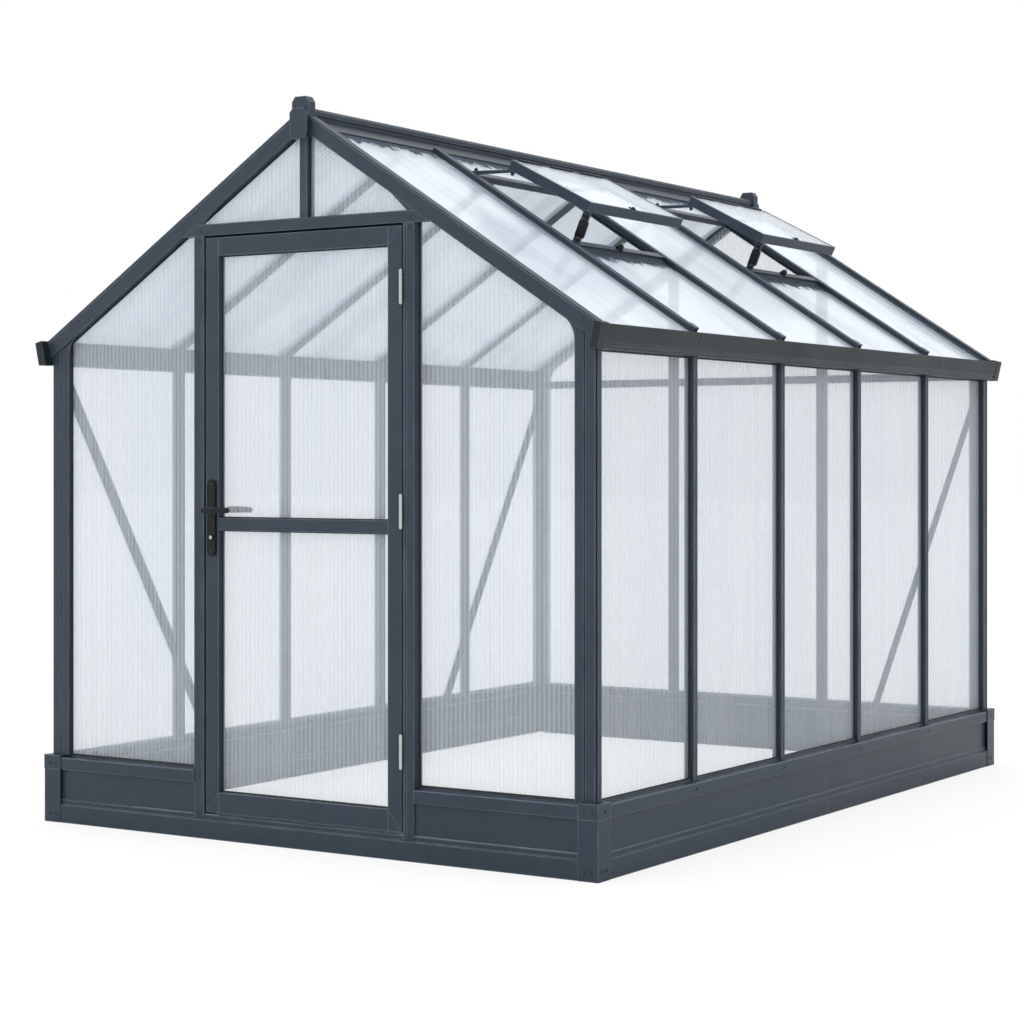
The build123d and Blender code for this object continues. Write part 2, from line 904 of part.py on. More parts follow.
gable_level = flange_bottom_level - seat_gap
front_sheet_y = (sheet_front_y, sheet_front_y + sheet_thickness)
with BuildPart() as front_sheets:
    for side_x in (-1, 1):
        edges = (side_x * (jamb_outer + seat_gap), side_x * post_rabbet)
        block(tuple(sorted(edges)), front_sheet_y, (sheet_foot, roof_apex_height))
        edges = (side_x * edge_gap, side_x * (jamb_outer - seat_gap))
        block(
            tuple(sorted(edges)),
            front_sheet_y,
            (header_bottom + sheet_header_lap, ridge_neck_bottom - seat_gap),
        )
    trim_to_roof(gable_level)
save(front_sheets, "front_sheets")

rear_sheet_y = (-front_sheet_y[1], -front_sheet_y[0])
with BuildPart() as rear_sheets:
    for side_x in (-1, 1):
        edges = (side_x * (rear_post_x + edge_gap), side_x * post_rabbet)
        block(tuple(sorted(edges)), rear_sheet_y, (sheet_foot, roof_apex_height))
    block(
        (-rear_post_x + edge_gap, rear_post_x - edge_gap),
        rear_sheet_y,
        (sheet_foot, ridge_neck_bottom - seat_gap),
    )
    trim_to_roof(gable_level)
save(rear_sheets, "rear_sheets")


def roof_sheet(side_x, span, start, end):
    low, high = span
    outline = [
        (side_x * low, under_sheet),
        (side_x * high, under_sheet),
        (side_x * high, sheet_level),
        (side_x * low, sheet_level),
    ]
    prism(slope_plane(side_x, start), outline, end - start)


with BuildPart() as roof_sheets_left:
    for bay in range(bay_count):
        roof_sheet(-1, bay_span(roof_edges, bay), sheet_start, sheet_end)
save(roof_sheets_left, "roof_sheets_left")

with BuildPart() as roof_sheets_right:
    for bay in range(bay_count):
        span = bay_span(roof_edges, bay)
        if bay in vent_bays:
            roof_sheet(1, span, sheet_start, vent_opening_top)
            roof_sheet(1, span, vent_opening_bottom, sheet_end)
        else:
            roof_sheet(1, span, sheet_start, sheet_end)
save(roof_sheets_right, "roof_sheets_right")


# Roof vents: crossbars of the opening, framed panel, arms and stays.
def vent_span(bay):
    inset = rib_width / 2 + seat_gap
    return roof_edges[bay] + inset, roof_edges[bay + 1] - inset


with BuildPart() as vent_crossbars:
    for bay in vent_bays:
        low, high = vent_span(bay)
        for edge, toward in ((vent_opening_top, 1), (vent_opening_bottom, -1)):
            section = [
                (edge - toward * crossbar_lap, sheet_level + seat_gap),
                (edge - toward * crossbar_lap, sheet_level + crossbar_rise),
                (edge - toward * crossbar_back, sheet_level + crossbar_rise),
                (edge - toward * crossbar_back, crossbar_top),
                (edge + toward * crossbar_front, crossbar_top),
                (edge + toward * crossbar_front, under_sheet),
                (edge + toward * seat_gap, under_sheet),
                (edge + toward * seat_gap, sheet_level + seat_gap),
            ]
            outline = [roof_point(along, level) for along, level in section]
            prism(section_y(high), outline, high - low)
save(vent_crossbars, "vent_crossbars")

vent_tilt = math.asin((vent_lift_bottom - vent_lift_top) / vent_panel_length)


def vent_point(down, above):
    """Place on an open vent: distance down its panel and height off its underside."""
    along = vent_panel_top + down * math.cos(vent_tilt) - above * math.sin(vent_tilt)
    level = vent_lift_top + down * math.sin(vent_tilt) + above * math.cos(vent_tilt)
    return roof_point(along, level)


def vent_outline(start, end, low, high):
    corners = ((start, low), (end, low), (end, high), (start, high))
    return [vent_point(down, above) for down, above in corners]


rebate_low = vent_frame_depth - vent_rim_height - sheet_thickness - seat_gap


def vent_ring(bay, inset, low, high, mode=Mode.ADD):
    """Rectangle of one vent, set in from the panel's edges, between two levels."""
    start, end = vent_span(bay)
    start += inset - rib_width / 2
    end -= inset - rib_width / 2
    outline = vent_outline(inset, vent_panel_length - inset, low, high)
    prism(section_y(end), outline, end - start, mode)


with BuildPart() as vent_frames:
    for bay in vent_bays:
        vent_ring(bay, 0.0, 0.0, vent_frame_depth)
        vent_ring(bay, vent_frame_face, -cut_over, vent_frame_depth + cut_over, Mode.SUBTRACT)
        vent_ring(bay, vent_rim, rebate_low, vent_frame_depth + cut_over, Mode.SUBTRACT)
save(vent_frames, "vent_frames")

sheet_low = rebate_low + seat_gap
with BuildPart() as vent_sheets:
    for bay in vent_bays:
        vent_ring(bay, vent_rim + seat_gap, sheet_low, sheet_low + sheet_thickness)
save(vent_sheets, "vent_sheets")

stay_inset = 30.0
with BuildPart() as vent_stays:
    for bay in vent_bays:
        low, high = vent_span(bay)
        arm = [
            roof_point(vent_opening_top - crossbar_back, crossbar_top + seat_gap),
            vent_point(0.0, -seat_gap),
            vent_point(vent_arm_width, -seat_gap),
            roof_point(vent_opening_top + crossbar_front, crossbar_top + seat_gap),
        ]
        for end_y in (low + vent_arm_thickness, high):
            prism(section_y(end_y), arm, vent_arm_thickness)
        stay_end = vent_panel_length - vent_rim
        stay = [
            roof_point(vent_opening_bottom - crossbar_front, crossbar_top + seat_gap),
            vent_point(stay_end - vent_stay_width, -seat_gap),
            vent_point(stay_end, -seat_gap),
            roof_point(vent_opening_bottom + crossbar_back, crossbar_top + seat_gap),
        ]
        prism(section_y(low + stay_inset), stay, vent_arm_thickness)
save(vent_stays, "vent_stays")


# Diagonal braces inside the side walls, from the corner posts down to the sill.
brace_width = 45.0
brace_thickness = 3.0
brace_foot_share_left = 0.25
brace_foot_share_right = 0.18
brace_level = post_outer_x - flange_depth + front_inset - seat_gap


def brace(side_x, high_end, low_end):
    """Flat strip on the inner flanges, from (y, z) at the eave to (y, z) at the sill."""
    run = Vector(low_end[0] - high_end[0], low_end[1] - high_end[1])
    past = run.normalized() * brace_width
    normal = Vector(-run.Y, run.X).normalized() * (brace_width / 2)
    top = Vector(*high_end) - past
    foot = Vector(*low_end) + past
    corners = (top + normal, foot + normal, foot - normal, top - normal)
    outline = [(corner.X, corner.Y) for corner in corners]
    start = side_x * brace_level - (brace_thickness if side_x > 0 else 0.0)
    plane = Plane(origin=(start, 0, 0), x_dir=(0, 1, 0), z_dir=(1, 0, 0))
    prism(plane, outline, brace_thickness)


brace_high = post_top - brace_width
brace_low = base_height + seat_gap
foot_left = post_lines[-1] - brace_foot_share_left * bay_pitch
foot_right = post_lines[-2] + brace_foot_share_right * bay_pitch
corner_line = half_length - front_inset - post_arm + post_sheet_lap
with BuildPart() as wall_braces:
    brace(-1, (-corner_line, brace_high), (-foot_left, brace_low))
    brace(-1, (corner_line, brace_high), (foot_left, brace_low))
    brace(1, (corner_line, brace_high), (foot_right, brace_low))
    across = (-half_width, half_width)
    for side_y in (-1, 1):
        ends = (side_y * (corner_line - seat_gap), side_y * half_length)
        block(across, tuple(sorted(ends)), (brace_low, post_top + post_face), Mode.SUBTRACT)
    for low, high in ((0.0, brace_low), (post_top, post_top + post_face)):
        block(across, (-half_length, half_length), (low, high), Mode.SUBTRACT)
save(wall_braces, "wall_braces")


# Gussets: curved ones under the rafters at the corner posts, slim ones on the header.
gusset_thickness = 3.0
gusset_reach = 46.0
gusset_facets = 6
header_gusset_foot = 28.0
header_gusset_run = 88.0
under_rafter = -verge_depth - seat_gap
gusset_turn = math.pi / 2 - slope
gusset_radius = gusset_reach / math.tan(gusset_turn / 2)


def eave_gusset(side_x, back):
    """Web in the corner between post and rafter, its free edge curving into both."""
    corner_x = post_outer_x - post_face - seat_gap
    corner_z = roof_height(corner_x, under_rafter)
    outline = [(side_x * corner_x, corner_z)]
    for step in range(gusset_facets + 1):
        angle = gusset_turn * step / gusset_facets
        x = corner_x - gusset_radius * (1 - math.cos(angle))
        z = corner_z - gusset_reach + gusset_radius * math.sin(angle)
        outline.append((side_x * x, z))
    prism(section_y(back), outline, gusset_thickness)


def header_gusset(side_x, back):
    low = header_top + seat_gap
    tip_x = (roof_height(0, under_rafter) - low) / math.tan(slope)
    outline = [
        (side_x * tip_x, low),
        (side_x * (tip_x - header_gusset_foot), low),
        (side_x * (tip_x - header_gusset_run), roof_height(tip_x - header_gusset_run, under_rafter)),
    ]
    prism(section_y(back), outline, gusset_thickness)


with BuildPart() as frame_gussets:
    for side_x in (-1, 1):
        eave_gusset(side_x, post_front_y + gusset_thickness)
        eave_gusset(side_x, -post_front_y)
        header_gusset(side_x, header_front + 2 * gusset_thickness)
save(frame_gussets, "frame_gussets")


# Door leaf.
def leaf_range(extra):
    return (front_y + leaf_front, front_y + leaf_front + leaf_thickness + extra)


sheet_slot = (
    front_y + leaf_front + door_sheet_recess,
    front_y + leaf_front + door_sheet_recess + sheet_thickness,
)
slot_clear = (sheet_slot[0] - seat_gap, sheet_slot[1] + seat_gap)
slot_depth = 8.0


def mitre_groove(side_x, edge_z, rail):
    """Hairline from the outer corner of the leaf to the inner corner of its rail."""
    across = side_x * stile_width
    run = math.hypot(across, rail)
    nudge = mitre_width / 2 * rail / run
    rise = mitre_width / 2 * across / run
    outline = []
    for far, sign in ((0, 1), (1, 1), (1, -1), (0, -1)):
        x = side_x * leaf_half_width - far * across + sign * nudge
        outline.append((x, edge_z + far * rail + sign * rise))
    prism(section_y(front_y + leaf_front + mitre_depth), outline, mitre_depth, Mode.SUBTRACT)


with BuildPart() as door_stiles:
    for side_x in (-1, 1):
        edges = (side_x * (leaf_half_width - stile_width), side_x * leaf_half_width)
        block(tuple(sorted(edges)), leaf_range(0), (leaf_bottom, leaf_top))
        slot = (
            side_x * (leaf_half_width - stile_width - cut_over),
            side_x * (leaf_half_width - stile_width + slot_depth),
        )
        block(
            tuple(sorted(slot)),
            slot_clear,
            (leaf_bottom + slot_end_inset, leaf_top - slot_end_inset),
            Mode.SUBTRACT,
        )
    bore_axis = Plane(
        origin=(-stile_centre, front_y, lever_height),
        x_dir=(1, 0, 0),
        z_dir=(0, 1, 0),
    )
    with BuildSketch(bore_axis) as spindle_hole:
        Circle(hub_radius + hub_hole_clearance)
    extrude(spindle_hole.sketch, amount=leaf_front + leaf_thickness + cut_over, mode=Mode.SUBTRACT)
    lock_plane = Plane(
        origin=(-stile_centre, front_y, lever_height - lock_drop),
        x_dir=(1, 0, 0),
        z_dir=(0, 1, 0),
    )
    with BuildSketch(lock_plane) as lock_hole:
        Circle(hub_radius + seat_gap)
    extrude(lock_hole.sketch, amount=leaf_front + leaf_thickness + cut_over, mode=Mode.SUBTRACT)
    for side_x in (-1, 1):
        for edge_z, rail in ((leaf_bottom, bottom_rail_height), (leaf_top, -top_rail_height)):
            mitre_groove(side_x, edge_z, rail)
save(door_stiles, "door_stiles")

rail_end = leaf_half_width - stile_width - seat_gap
rails = (
    (leaf_bottom, leaf_bottom + bottom_rail_height, 1),
    (mid_rail_top - mid_rail_height, mid_rail_top, 0),
    (leaf_top - top_rail_height, leaf_top, -1),
)
with BuildPart() as door_rails:
    for low, high, slot_edge in rails:
        block((-rail_end, rail_end), leaf_range(0), (low, high))
        if slot_edge >= 0:
            block(
                (-rail_end, rail_end),
                slot_clear,
                (high - slot_depth, high + cut_over),
                Mode.SUBTRACT,
            )
        if slot_edge <= 0:
            block(
                (-rail_end, rail_end),
                slot_clear,
                (low - cut_over, low + slot_depth),
                Mode.SUBTRACT,
            )
save(door_rails, "door_rails")

door_sheet_edge = leaf_half_width - stile_width + slot_depth - seat_gap
with BuildPart() as door_sheets:
    low_sheet = (
        leaf_bottom + bottom_rail_height - slot_depth + seat_gap,
        mid_rail_top - mid_rail_height + slot_depth - seat_gap,
    )
    high_sheet = (
        mid_rail_top - slot_depth + seat_gap,
        leaf_top - top_rail_height + slot_depth - seat_gap,
    )
    for heights in (low_sheet, high_sheet):
        block((-door_sheet_edge, door_sheet_edge), sheet_slot, heights)
save(door_sheets, "door_sheets")


# Butt hinges: knuckles round a pin just proud of the frame, leaves in the gap.
def knuckle(low, high, radius):
    with BuildSketch(Plane(origin=(pin_x, pin_y, low))) as ring:
        Circle(radius)
    extrude(ring.sketch, amount=high - low)


def bore_pin(low, high):
    with BuildSketch(Plane(origin=(pin_x, pin_y, low - cut_over))) as hole:
        Circle(hinge_pin_radius + pin_clearance)
    extrude(hole.sketch, amount=high - low + 2 * cut_over, mode=Mode.SUBTRACT)


def hinge_leaf(side_x, low, high):
    """Thin leaf against the jamb (+1) or against the edge of the door (-1)."""
    gap_half = leaf_gap / 2
    edges = (
        pin_x + side_x * (gap_half - seat_gap),
        pin_x + side_x * (gap_half - seat_gap - hinge_leaf_thickness),
    )
    block(tuple(sorted(edges)), (pin_y, pin_y + hinge_leaf_width), (low, high))


third = hinge_length / 3
hinge_heights = (
    leaf_bottom + hinge_bottom_rise,
    mid_rail_top + hinge_middle_rise,
    leaf_top - hinge_top_drop,
)
with BuildPart() as jamb_hinges:
    for height in hinge_heights:
        low = height - hinge_length / 2
        for start in (low, low + 2 * third):
            knuckle(start, start + third - seat_gap, knuckle_radius)
            hinge_leaf(1, start, start + third - seat_gap)
        with BuildSketch(Plane(origin=(pin_x, pin_y, low))) as pin:
            Circle(hinge_pin_radius)
        extrude(pin.sketch, amount=hinge_length - seat_gap)
save(jamb_hinges, "jamb_hinges")

with BuildPart() as door_hinges:
    for height in hinge_heights:
        low = height - hinge_length / 2 + third
        knuckle(low, low + third - seat_gap, knuckle_radius)
        hinge_leaf(-1, low, low + third - seat_gap)
        bore_pin(low, low + third)
save(door_hinges, "door_hinges")


# Handle: long plates, hubs, levers and a square spindle run through the stile.
face_plane = Plane(
    origin=(-stile_centre, front_y + leaf_front - seat_gap, 0),
    x_dir=(1, 0, 0),
    z_dir=(0, -1, 0),
)
back_plane = Plane(
    origin=(-stile_centre, front_y + leaf_front + leaf_thickness + seat_gap, 0),
    x_dir=(-1, 0, 0),
    z_dir=(0, 1, 0),
)
with BuildPart() as handle_plates:
    for plane in (face_plane, back_plane):
        with BuildSketch(plane) as plate:
            with Locations((0, mid_rail_top)):
                SlotOverall(plate_length, plate_width, rotation=90)
            with Locations((0, lever_height)):
                Circle(hub_radius + hub_hole_clearance, mode=Mode.SUBTRACT)
            with Locations((0, lever_height - lock_drop)):
                Circle(hub_radius + seat_gap, mode=Mode.SUBTRACT)
        extrude(plate.sketch, amount=plate_depth)
save(handle_plates, "handle_plates")

lock_reach = leaf_front - seat_gap - plate_depth - lock_proud
with BuildPart() as lock_cylinder:
    start = front_y + lock_reach
    with BuildSketch(
        Plane(
            origin=(-stile_centre, start, lever_height - lock_drop),
            x_dir=(1, 0, 0),
            z_dir=(0, 1, 0),
        )
    ) as barrel:
        Circle(hub_radius)
    extrude(barrel.sketch, amount=leaf_thickness + 2 * (plate_depth + seat_gap + lock_proud))
save(lock_cylinder, "lock_cylinder")

lever_front = front_y + leaf_front - plate_depth - lever_reach
lever_back = front_y + leaf_front + leaf_thickness + plate_depth + lever_reach
with BuildPart() as door_levers:
    with BuildSketch(
        Plane(
            origin=(-stile_centre, lever_front, lever_height),
            x_dir=(1, 0, 0),
            z_dir=(0, 1, 0),
        )
    ) as spindle:
        Circle(hub_radius)
    extrude(spindle.sketch, amount=lever_back - lever_front)
    for start in (lever_front, lever_back - lever_thickness):
        grip_plane = Plane(
            origin=(-stile_centre, start, lever_height),
            x_dir=(1, 0, 0),
            z_dir=(0, 1, 0),
        )
        with BuildSketch(grip_plane) as grip:
            with BuildLine():
                Polyline(
                    (-hub_radius, lever_root_half),
                    (lever_length - lever_tip_run, lever_tip_high),
                    (lever_length, 0.0),
                    (lever_length - lever_tip_run, -lever_tip_low),
                    (-hub_radius, -lever_root_half),
                    close=True,
                )
            make_face()
        extrude(grip.sketch, amount=lever_thickness)
save(door_levers, "door_levers")
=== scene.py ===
import bpy
import bmesh
import math
import json
from mathutils import Matrix, Vector


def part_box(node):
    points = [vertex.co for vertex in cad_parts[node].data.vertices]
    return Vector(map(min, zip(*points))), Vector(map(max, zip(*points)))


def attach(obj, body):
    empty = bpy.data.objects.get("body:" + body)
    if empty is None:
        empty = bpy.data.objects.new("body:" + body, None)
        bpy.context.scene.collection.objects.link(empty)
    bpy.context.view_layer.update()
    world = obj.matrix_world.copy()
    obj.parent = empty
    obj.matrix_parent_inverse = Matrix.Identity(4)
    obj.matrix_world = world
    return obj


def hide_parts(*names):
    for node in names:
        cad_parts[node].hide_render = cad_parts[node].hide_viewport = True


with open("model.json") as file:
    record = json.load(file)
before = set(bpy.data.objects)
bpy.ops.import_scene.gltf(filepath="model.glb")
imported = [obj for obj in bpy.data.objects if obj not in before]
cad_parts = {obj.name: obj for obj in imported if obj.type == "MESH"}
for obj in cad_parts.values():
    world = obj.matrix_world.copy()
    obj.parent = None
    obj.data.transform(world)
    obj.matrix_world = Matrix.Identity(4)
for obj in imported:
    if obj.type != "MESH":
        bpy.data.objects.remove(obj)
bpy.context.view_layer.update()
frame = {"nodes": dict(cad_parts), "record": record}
nodes = frame["nodes"]
print("frame loaded:", len(nodes), "nodes")

scene = bpy.context.scene
scene.view_settings.view_transform = "Standard"

# Camera: level, to the right of the door end, framed with a small shift.
photoCamera = {
    "place": (4.462, -7.302, 1.207),
    "turnDegrees": 32.61,
    "lens": 81.65,
    "shiftY": -0.0483,
}


def addCamera(settings):
    data = bpy.data.cameras.new("photoCamera")
    data.lens = settings["lens"]
    data.sensor_width = 36.0
    data.shift_y = settings["shiftY"]
    camera = bpy.data.objects.new("photoCamera", data)
    camera.location = settings["place"]
    camera.rotation_euler = (math.radians(90.0), 0.0, math.radians(settings["turnDegrees"]))
    scene.collection.objects.link(camera)
    scene.camera = camera


addCamera(photoCamera)

# The house in metres: what the pieces below are set out from.
house = {
    "halfWidth": 1.0825,
    "halfLength": 1.56,
    "apex": 2.311,
    "eaveX": 1.063,
    "eaveHeight": 1.623,
    "baysAlong": 5,
    "postInset": 0.020,
    "ribDepth": 0.019,
    "ventBays": (1, 3),
    "ventOpening": (0.262, 0.725),
}
slope = math.atan2(house["apex"] - house["eaveHeight"], house["eaveX"])
roofLength = house["eaveX"] / math.cos(slope)
bayPitch = 2 * (house["halfLength"] - house["postInset"]) / house["baysAlong"]
frontPostY = -house["halfLength"] + house["postInset"]
postLines = [frontPostY + bayPitch * step for step in range(1, house["baysAlong"])]


def roofPoint(side, along, level, y):
    x = along * math.cos(slope) + level * math.sin(slope)
    z = house["apex"] - along * math.sin(slope) + level * math.cos(slope)
    return Vector((side * x, y, z))


def roofHeight(x, level):
    return house["apex"] - abs(x) * math.tan(slope) + level / math.cos(slope)


# Shader groups shared by several finishes.
def newGroup(name, inputs, outputs):
    group = bpy.data.node_groups.new(name, "ShaderNodeTree")
    for socketName, kind, value in inputs:
        socket = group.interface.new_socket(socketName, in_out="INPUT", socket_type=kind)
        if value is not None:
            socket.default_value = value
    for socketName, kind in outputs:
        group.interface.new_socket(socketName, in_out="OUTPUT", socket_type=kind)
    return group, group.nodes.new("NodeGroupInput"), group.nodes.new("NodeGroupOutput")


def mathNode(tree, operation, first, second=None):
    node = tree.nodes.new("ShaderNodeMath")
    node.operation = operation
    for index, value in enumerate((first, second)):
        if value is None:
            continue
        if isinstance(value, (int, float)):
            node.inputs[index].default_value = value
        else:
            tree.links.new(value, node.inputs[index])
    return node.outputs[0]


def noiseNode(tree, vector, scale, detail=2.0, rough=0.5):
    node = tree.nodes.new("ShaderNodeTexNoise")
    node.inputs["Scale"].default_value = scale
    node.inputs["Detail"].default_value = detail
    node.inputs["Roughness"].default_value = rough
    tree.links.new(vector, node.inputs["Vector"])
    return node.outputs["Fac"]


def rangeNode(tree, value, *limits):
    # limits: lowest and highest value that goes in, then the two that come out
    node = tree.nodes.new("ShaderNodeMapRange")
    for name, number in zip(("From Min", "From Max", "To Min", "To Max"), limits):
        node.inputs[name].default_value = number
    tree.links.new(value, node.inputs["Value"])
    return node.outputs["Result"]


edgeHighlightLook = {"radius": 0.0045, "samples": 2, "flat": 0.99, "full": 0.84, "patchScale": 9.0}


def makeEdgeHighlightAndWear():
    # painted highlight along the edges, broken into patches like rubbed wear: where the rounded normal
    # leaves the flat one
    group, into, out = newGroup(
        "edgeHighlightAndWear",
        [("Vector", "NodeSocketVector", None), ("Strength", "NodeSocketFloat", 1.0)],
        [("Mask", "NodeSocketFloat"), ("Rounded", "NodeSocketVector")],
    )
    bevel = group.nodes.new("ShaderNodeBevel")
    bevel.samples = edgeHighlightLook["samples"]
    bevel.inputs["Radius"].default_value = edgeHighlightLook["radius"]
    geometry = group.nodes.new("ShaderNodeNewGeometry")
    dot = group.nodes.new("ShaderNodeVectorMath")
    dot.operation = "DOT_PRODUCT"
    group.links.new(bevel.outputs[0], dot.inputs[0])
    group.links.new(geometry.outputs["True Normal"], dot.inputs[1])
    edge = rangeNode(group, dot.outputs["Value"], edgeHighlightLook["flat"], edgeHighlightLook["full"], 0.0, 1.0)
    patches = noiseNode(group, into.outputs["Vector"], edgeHighlightLook["patchScale"], 1.0)
    patchyHighlight = mathNode(group, "MULTIPLY", edge, rangeNode(group, patches, 0.3, 0.7, 0.6, 1.0))
    mask = mathNode(group, "MULTIPLY", patchyHighlight, into.outputs["Strength"])
    group.links.new(mask, out.inputs["Mask"])
    group.links.new(bevel.outputs[0], out.inputs["Rounded"])
    return group


grainLook = {"toneScale": 2.3, "dustScale": 14.0, "grainScale": 900.0}


def makePowderGrain():
    # powder coat: orange peel height, slow tone drift and a faint dust veil
    group, into, out = newGroup(
        "powderGrain",
        [
            ("Vector", "NodeSocketVector", None),
            ("Grain Scale", "NodeSocketFloat", grainLook["grainScale"]),
        ],
        [("Height", "NodeSocketFloat"), ("Tone", "NodeSocketFloat"), ("Dust", "NodeSocketFloat")],
    )
    fine = group.nodes.new("ShaderNodeTexNoise")
    fine.inputs["Detail"].default_value = 2.0
    group.links.new(into.outputs["Vector"], fine.inputs["Vector"])
    group.links.new(into.outputs["Grain Scale"], fine.inputs["Scale"])
    tone = noiseNode(group, into.outputs["Vector"], grainLook["toneScale"], 2.0, 0.6)
    specks = noiseNode(group, into.outputs["Vector"], grainLook["dustScale"], 3.0, 0.7)
    dust = rangeNode(group, specks, 0.45, 0.8, 0.0, 1.0)
    group.links.new(fine.outputs["Fac"], out.inputs["Height"])
    group.links.new(tone, out.inputs["Tone"])
    group.links.new(dust, out.inputs["Dust"])
    return group


def makeFluteLines():
    # paler lines where the webs meet the skins, each channel a touch different
    group, into, out = newGroup(
        "fluteLines",
        [("Across", "NodeSocketFloat", 0.0), ("Pitch", "NodeSocketFloat", 0.011)],
        [("Line", "NodeSocketFloat"), ("Channel", "NodeSocketFloat")],
    )
    steps = mathNode(group, "DIVIDE", into.outputs["Across"], into.outputs["Pitch"])
    channel = mathNode(group, "FLOOR", steps)
    part = mathNode(group, "FRACT", steps)
    fromMiddle = mathNode(group, "ABSOLUTE", mathNode(group, "SUBTRACT", part, 0.5))
    line = rangeNode(group, fromMiddle, 0.22, 0.50, 0.0, 1.0)
    wander = group.nodes.new("ShaderNodeTexWhiteNoise")
    wander.noise_dimensions = "1D"
    group.links.new(channel, wander.inputs["W"])
    group.links.new(line, out.inputs["Line"])
    group.links.new(wander.outputs["Value"], out.inputs["Channel"])
    return group


edgeHighlightAndWear = makeEdgeHighlightAndWear()
powderGrain = makePowderGrain()
fluteLines = makeFluteLines()
print("shader groups made")


# Finishes.
def startMaterial(name):
    material = bpy.data.materials.new(name)
    material.use_nodes = True
    tree = material.node_tree
    coordinates = tree.nodes.new("ShaderNodeTexCoord")
    return material, tree, tree.nodes["Principled BSDF"], coordinates.outputs["Object"]


def useGroup(tree, group, values):
    node = tree.nodes.new("ShaderNodeGroup")
    node.node_tree = group
    for name, value in values.items():
        if isinstance(value, (int, float)):
            node.inputs[name].default_value = value
        else:
            tree.links.new(value, node.inputs[name])
    return node


def mixColour(tree, factor, first, second):
    node = tree.nodes.new("ShaderNodeMix")
    node.data_type = "RGBA"
    tree.links.new(factor, node.inputs["Factor"])
    for socket, value in ((node.inputs[6], first), (node.inputs[7], second)):
        if isinstance(value, tuple):
            socket.default_value = (*value, 1.0)
        else:
            tree.links.new(value, socket)
    return node.outputs[2]


def addBump(tree, shader, height, strength):
    bump = tree.nodes.new("ShaderNodeBump")
    bump.inputs["Strength"].default_value = strength
    bump.inputs["Distance"].default_value = 0.0002
    tree.links.new(height, bump.inputs["Height"])
    tree.links.new(bump.outputs[0], shader.inputs["Normal"])
    return bump


# the first entry sets how strongly the painted edge highlight shows; the rest is dust, roughness and
# bump
paintWearAndHighlight = {"edgeHighlightStrength": 0.9, "dustShare": 0.05, "roughDrop": 0.05, "roughRise": 0.07, "bump": 0.12}
# each paint: random tone from dark to light, a painted highlight colour for the edges, dust, roughness
# and specular level
paintLooks = {
    "framePaint": {
        "dark": (0.0185, 0.0300, 0.0460),
        "light": (0.0275, 0.0425, 0.0620),
        "edgeHighlight": (0.330, 0.400, 0.480),
        "dust": (0.16, 0.17, 0.17),
        "rough": 0.40,
        "shine": 0.28,
    },
    "gutterPaint": {
        "dark": (0.0068, 0.0125, 0.0162),
        "light": (0.0098, 0.0168, 0.0210),
        "edgeHighlight": (0.190, 0.220, 0.245),
        "dust": (0.16, 0.17, 0.17),
        "rough": 0.45,
        "shine": 0.25,
    },
}


def paintMaterial(name, look):
    material, tree, shader, place = startMaterial(name)
    grain = useGroup(tree, powderGrain, {"Vector": place, "Grain Scale": grainLook["grainScale"]})
    edgeHighlight = useGroup(tree, edgeHighlightAndWear, {"Vector": place, "Strength": paintWearAndHighlight["edgeHighlightStrength"]})
    base = mixColour(tree, grain.outputs["Tone"], look["dark"], look["light"])
    dustAmount = mathNode(tree, "MULTIPLY", grain.outputs["Dust"], paintWearAndHighlight["dustShare"])
    dusty = mixColour(tree, dustAmount, base, look["dust"])
    # painted highlight mixed in along the edges
    edgeHighlighted = mixColour(tree, edgeHighlight.outputs["Mask"], dusty, look["edgeHighlight"])
    tree.links.new(edgeHighlighted, shader.inputs["Base Color"])
    smoothest = look["rough"] - paintWearAndHighlight["roughDrop"]
    roughest = look["rough"] + paintWearAndHighlight["roughRise"]
    rough = rangeNode(tree, grain.outputs["Tone"], 0.3, 0.7, smoothest, roughest)
    tree.links.new(rough, shader.inputs["Roughness"])
    shader.inputs["Specular IOR Level"].default_value = look["shine"]
    bump = addBump(tree, shader, grain.outputs["Height"], paintWearAndHighlight["bump"])
    tree.links.new(edgeHighlight.outputs["Rounded"], bump.inputs["Normal"])
    return material


sheetGrain = {"acrossStretch": 2.2, "alongStretch": 0.8, "channelDrift": 0.015}
sheetLooks = {
    "wall": {
        "pitch": {"X": 0.0165, "Y": 0.0260},
        "colour": (0.672, 0.738, 0.802),
        "line": (0.79, 0.85, 0.905),
        "reflectionCloud": (0.61, 0.69, 0.77),
        "reflectionCloudScale": 1.1,
        "alpha": 0.235,
        "lineAlpha": 0.31,
        "rough": 0.30,
        "shine": 0.30,
    },
    "roof": {
        "pitch": {"X": 0.0165, "Y": 0.0240},
        "colour": (0.795, 0.885, 0.975),
        "line": (0.840, 0.920, 0.985),
        "reflectionCloud": (0.50, 0.59, 0.69),
        "reflectionCloudScale": 2.3,
        "alpha": 0.50,
        "lineAlpha": 0.525,
        "rough": 0.20,
        "shine": 0.6,
    },
}


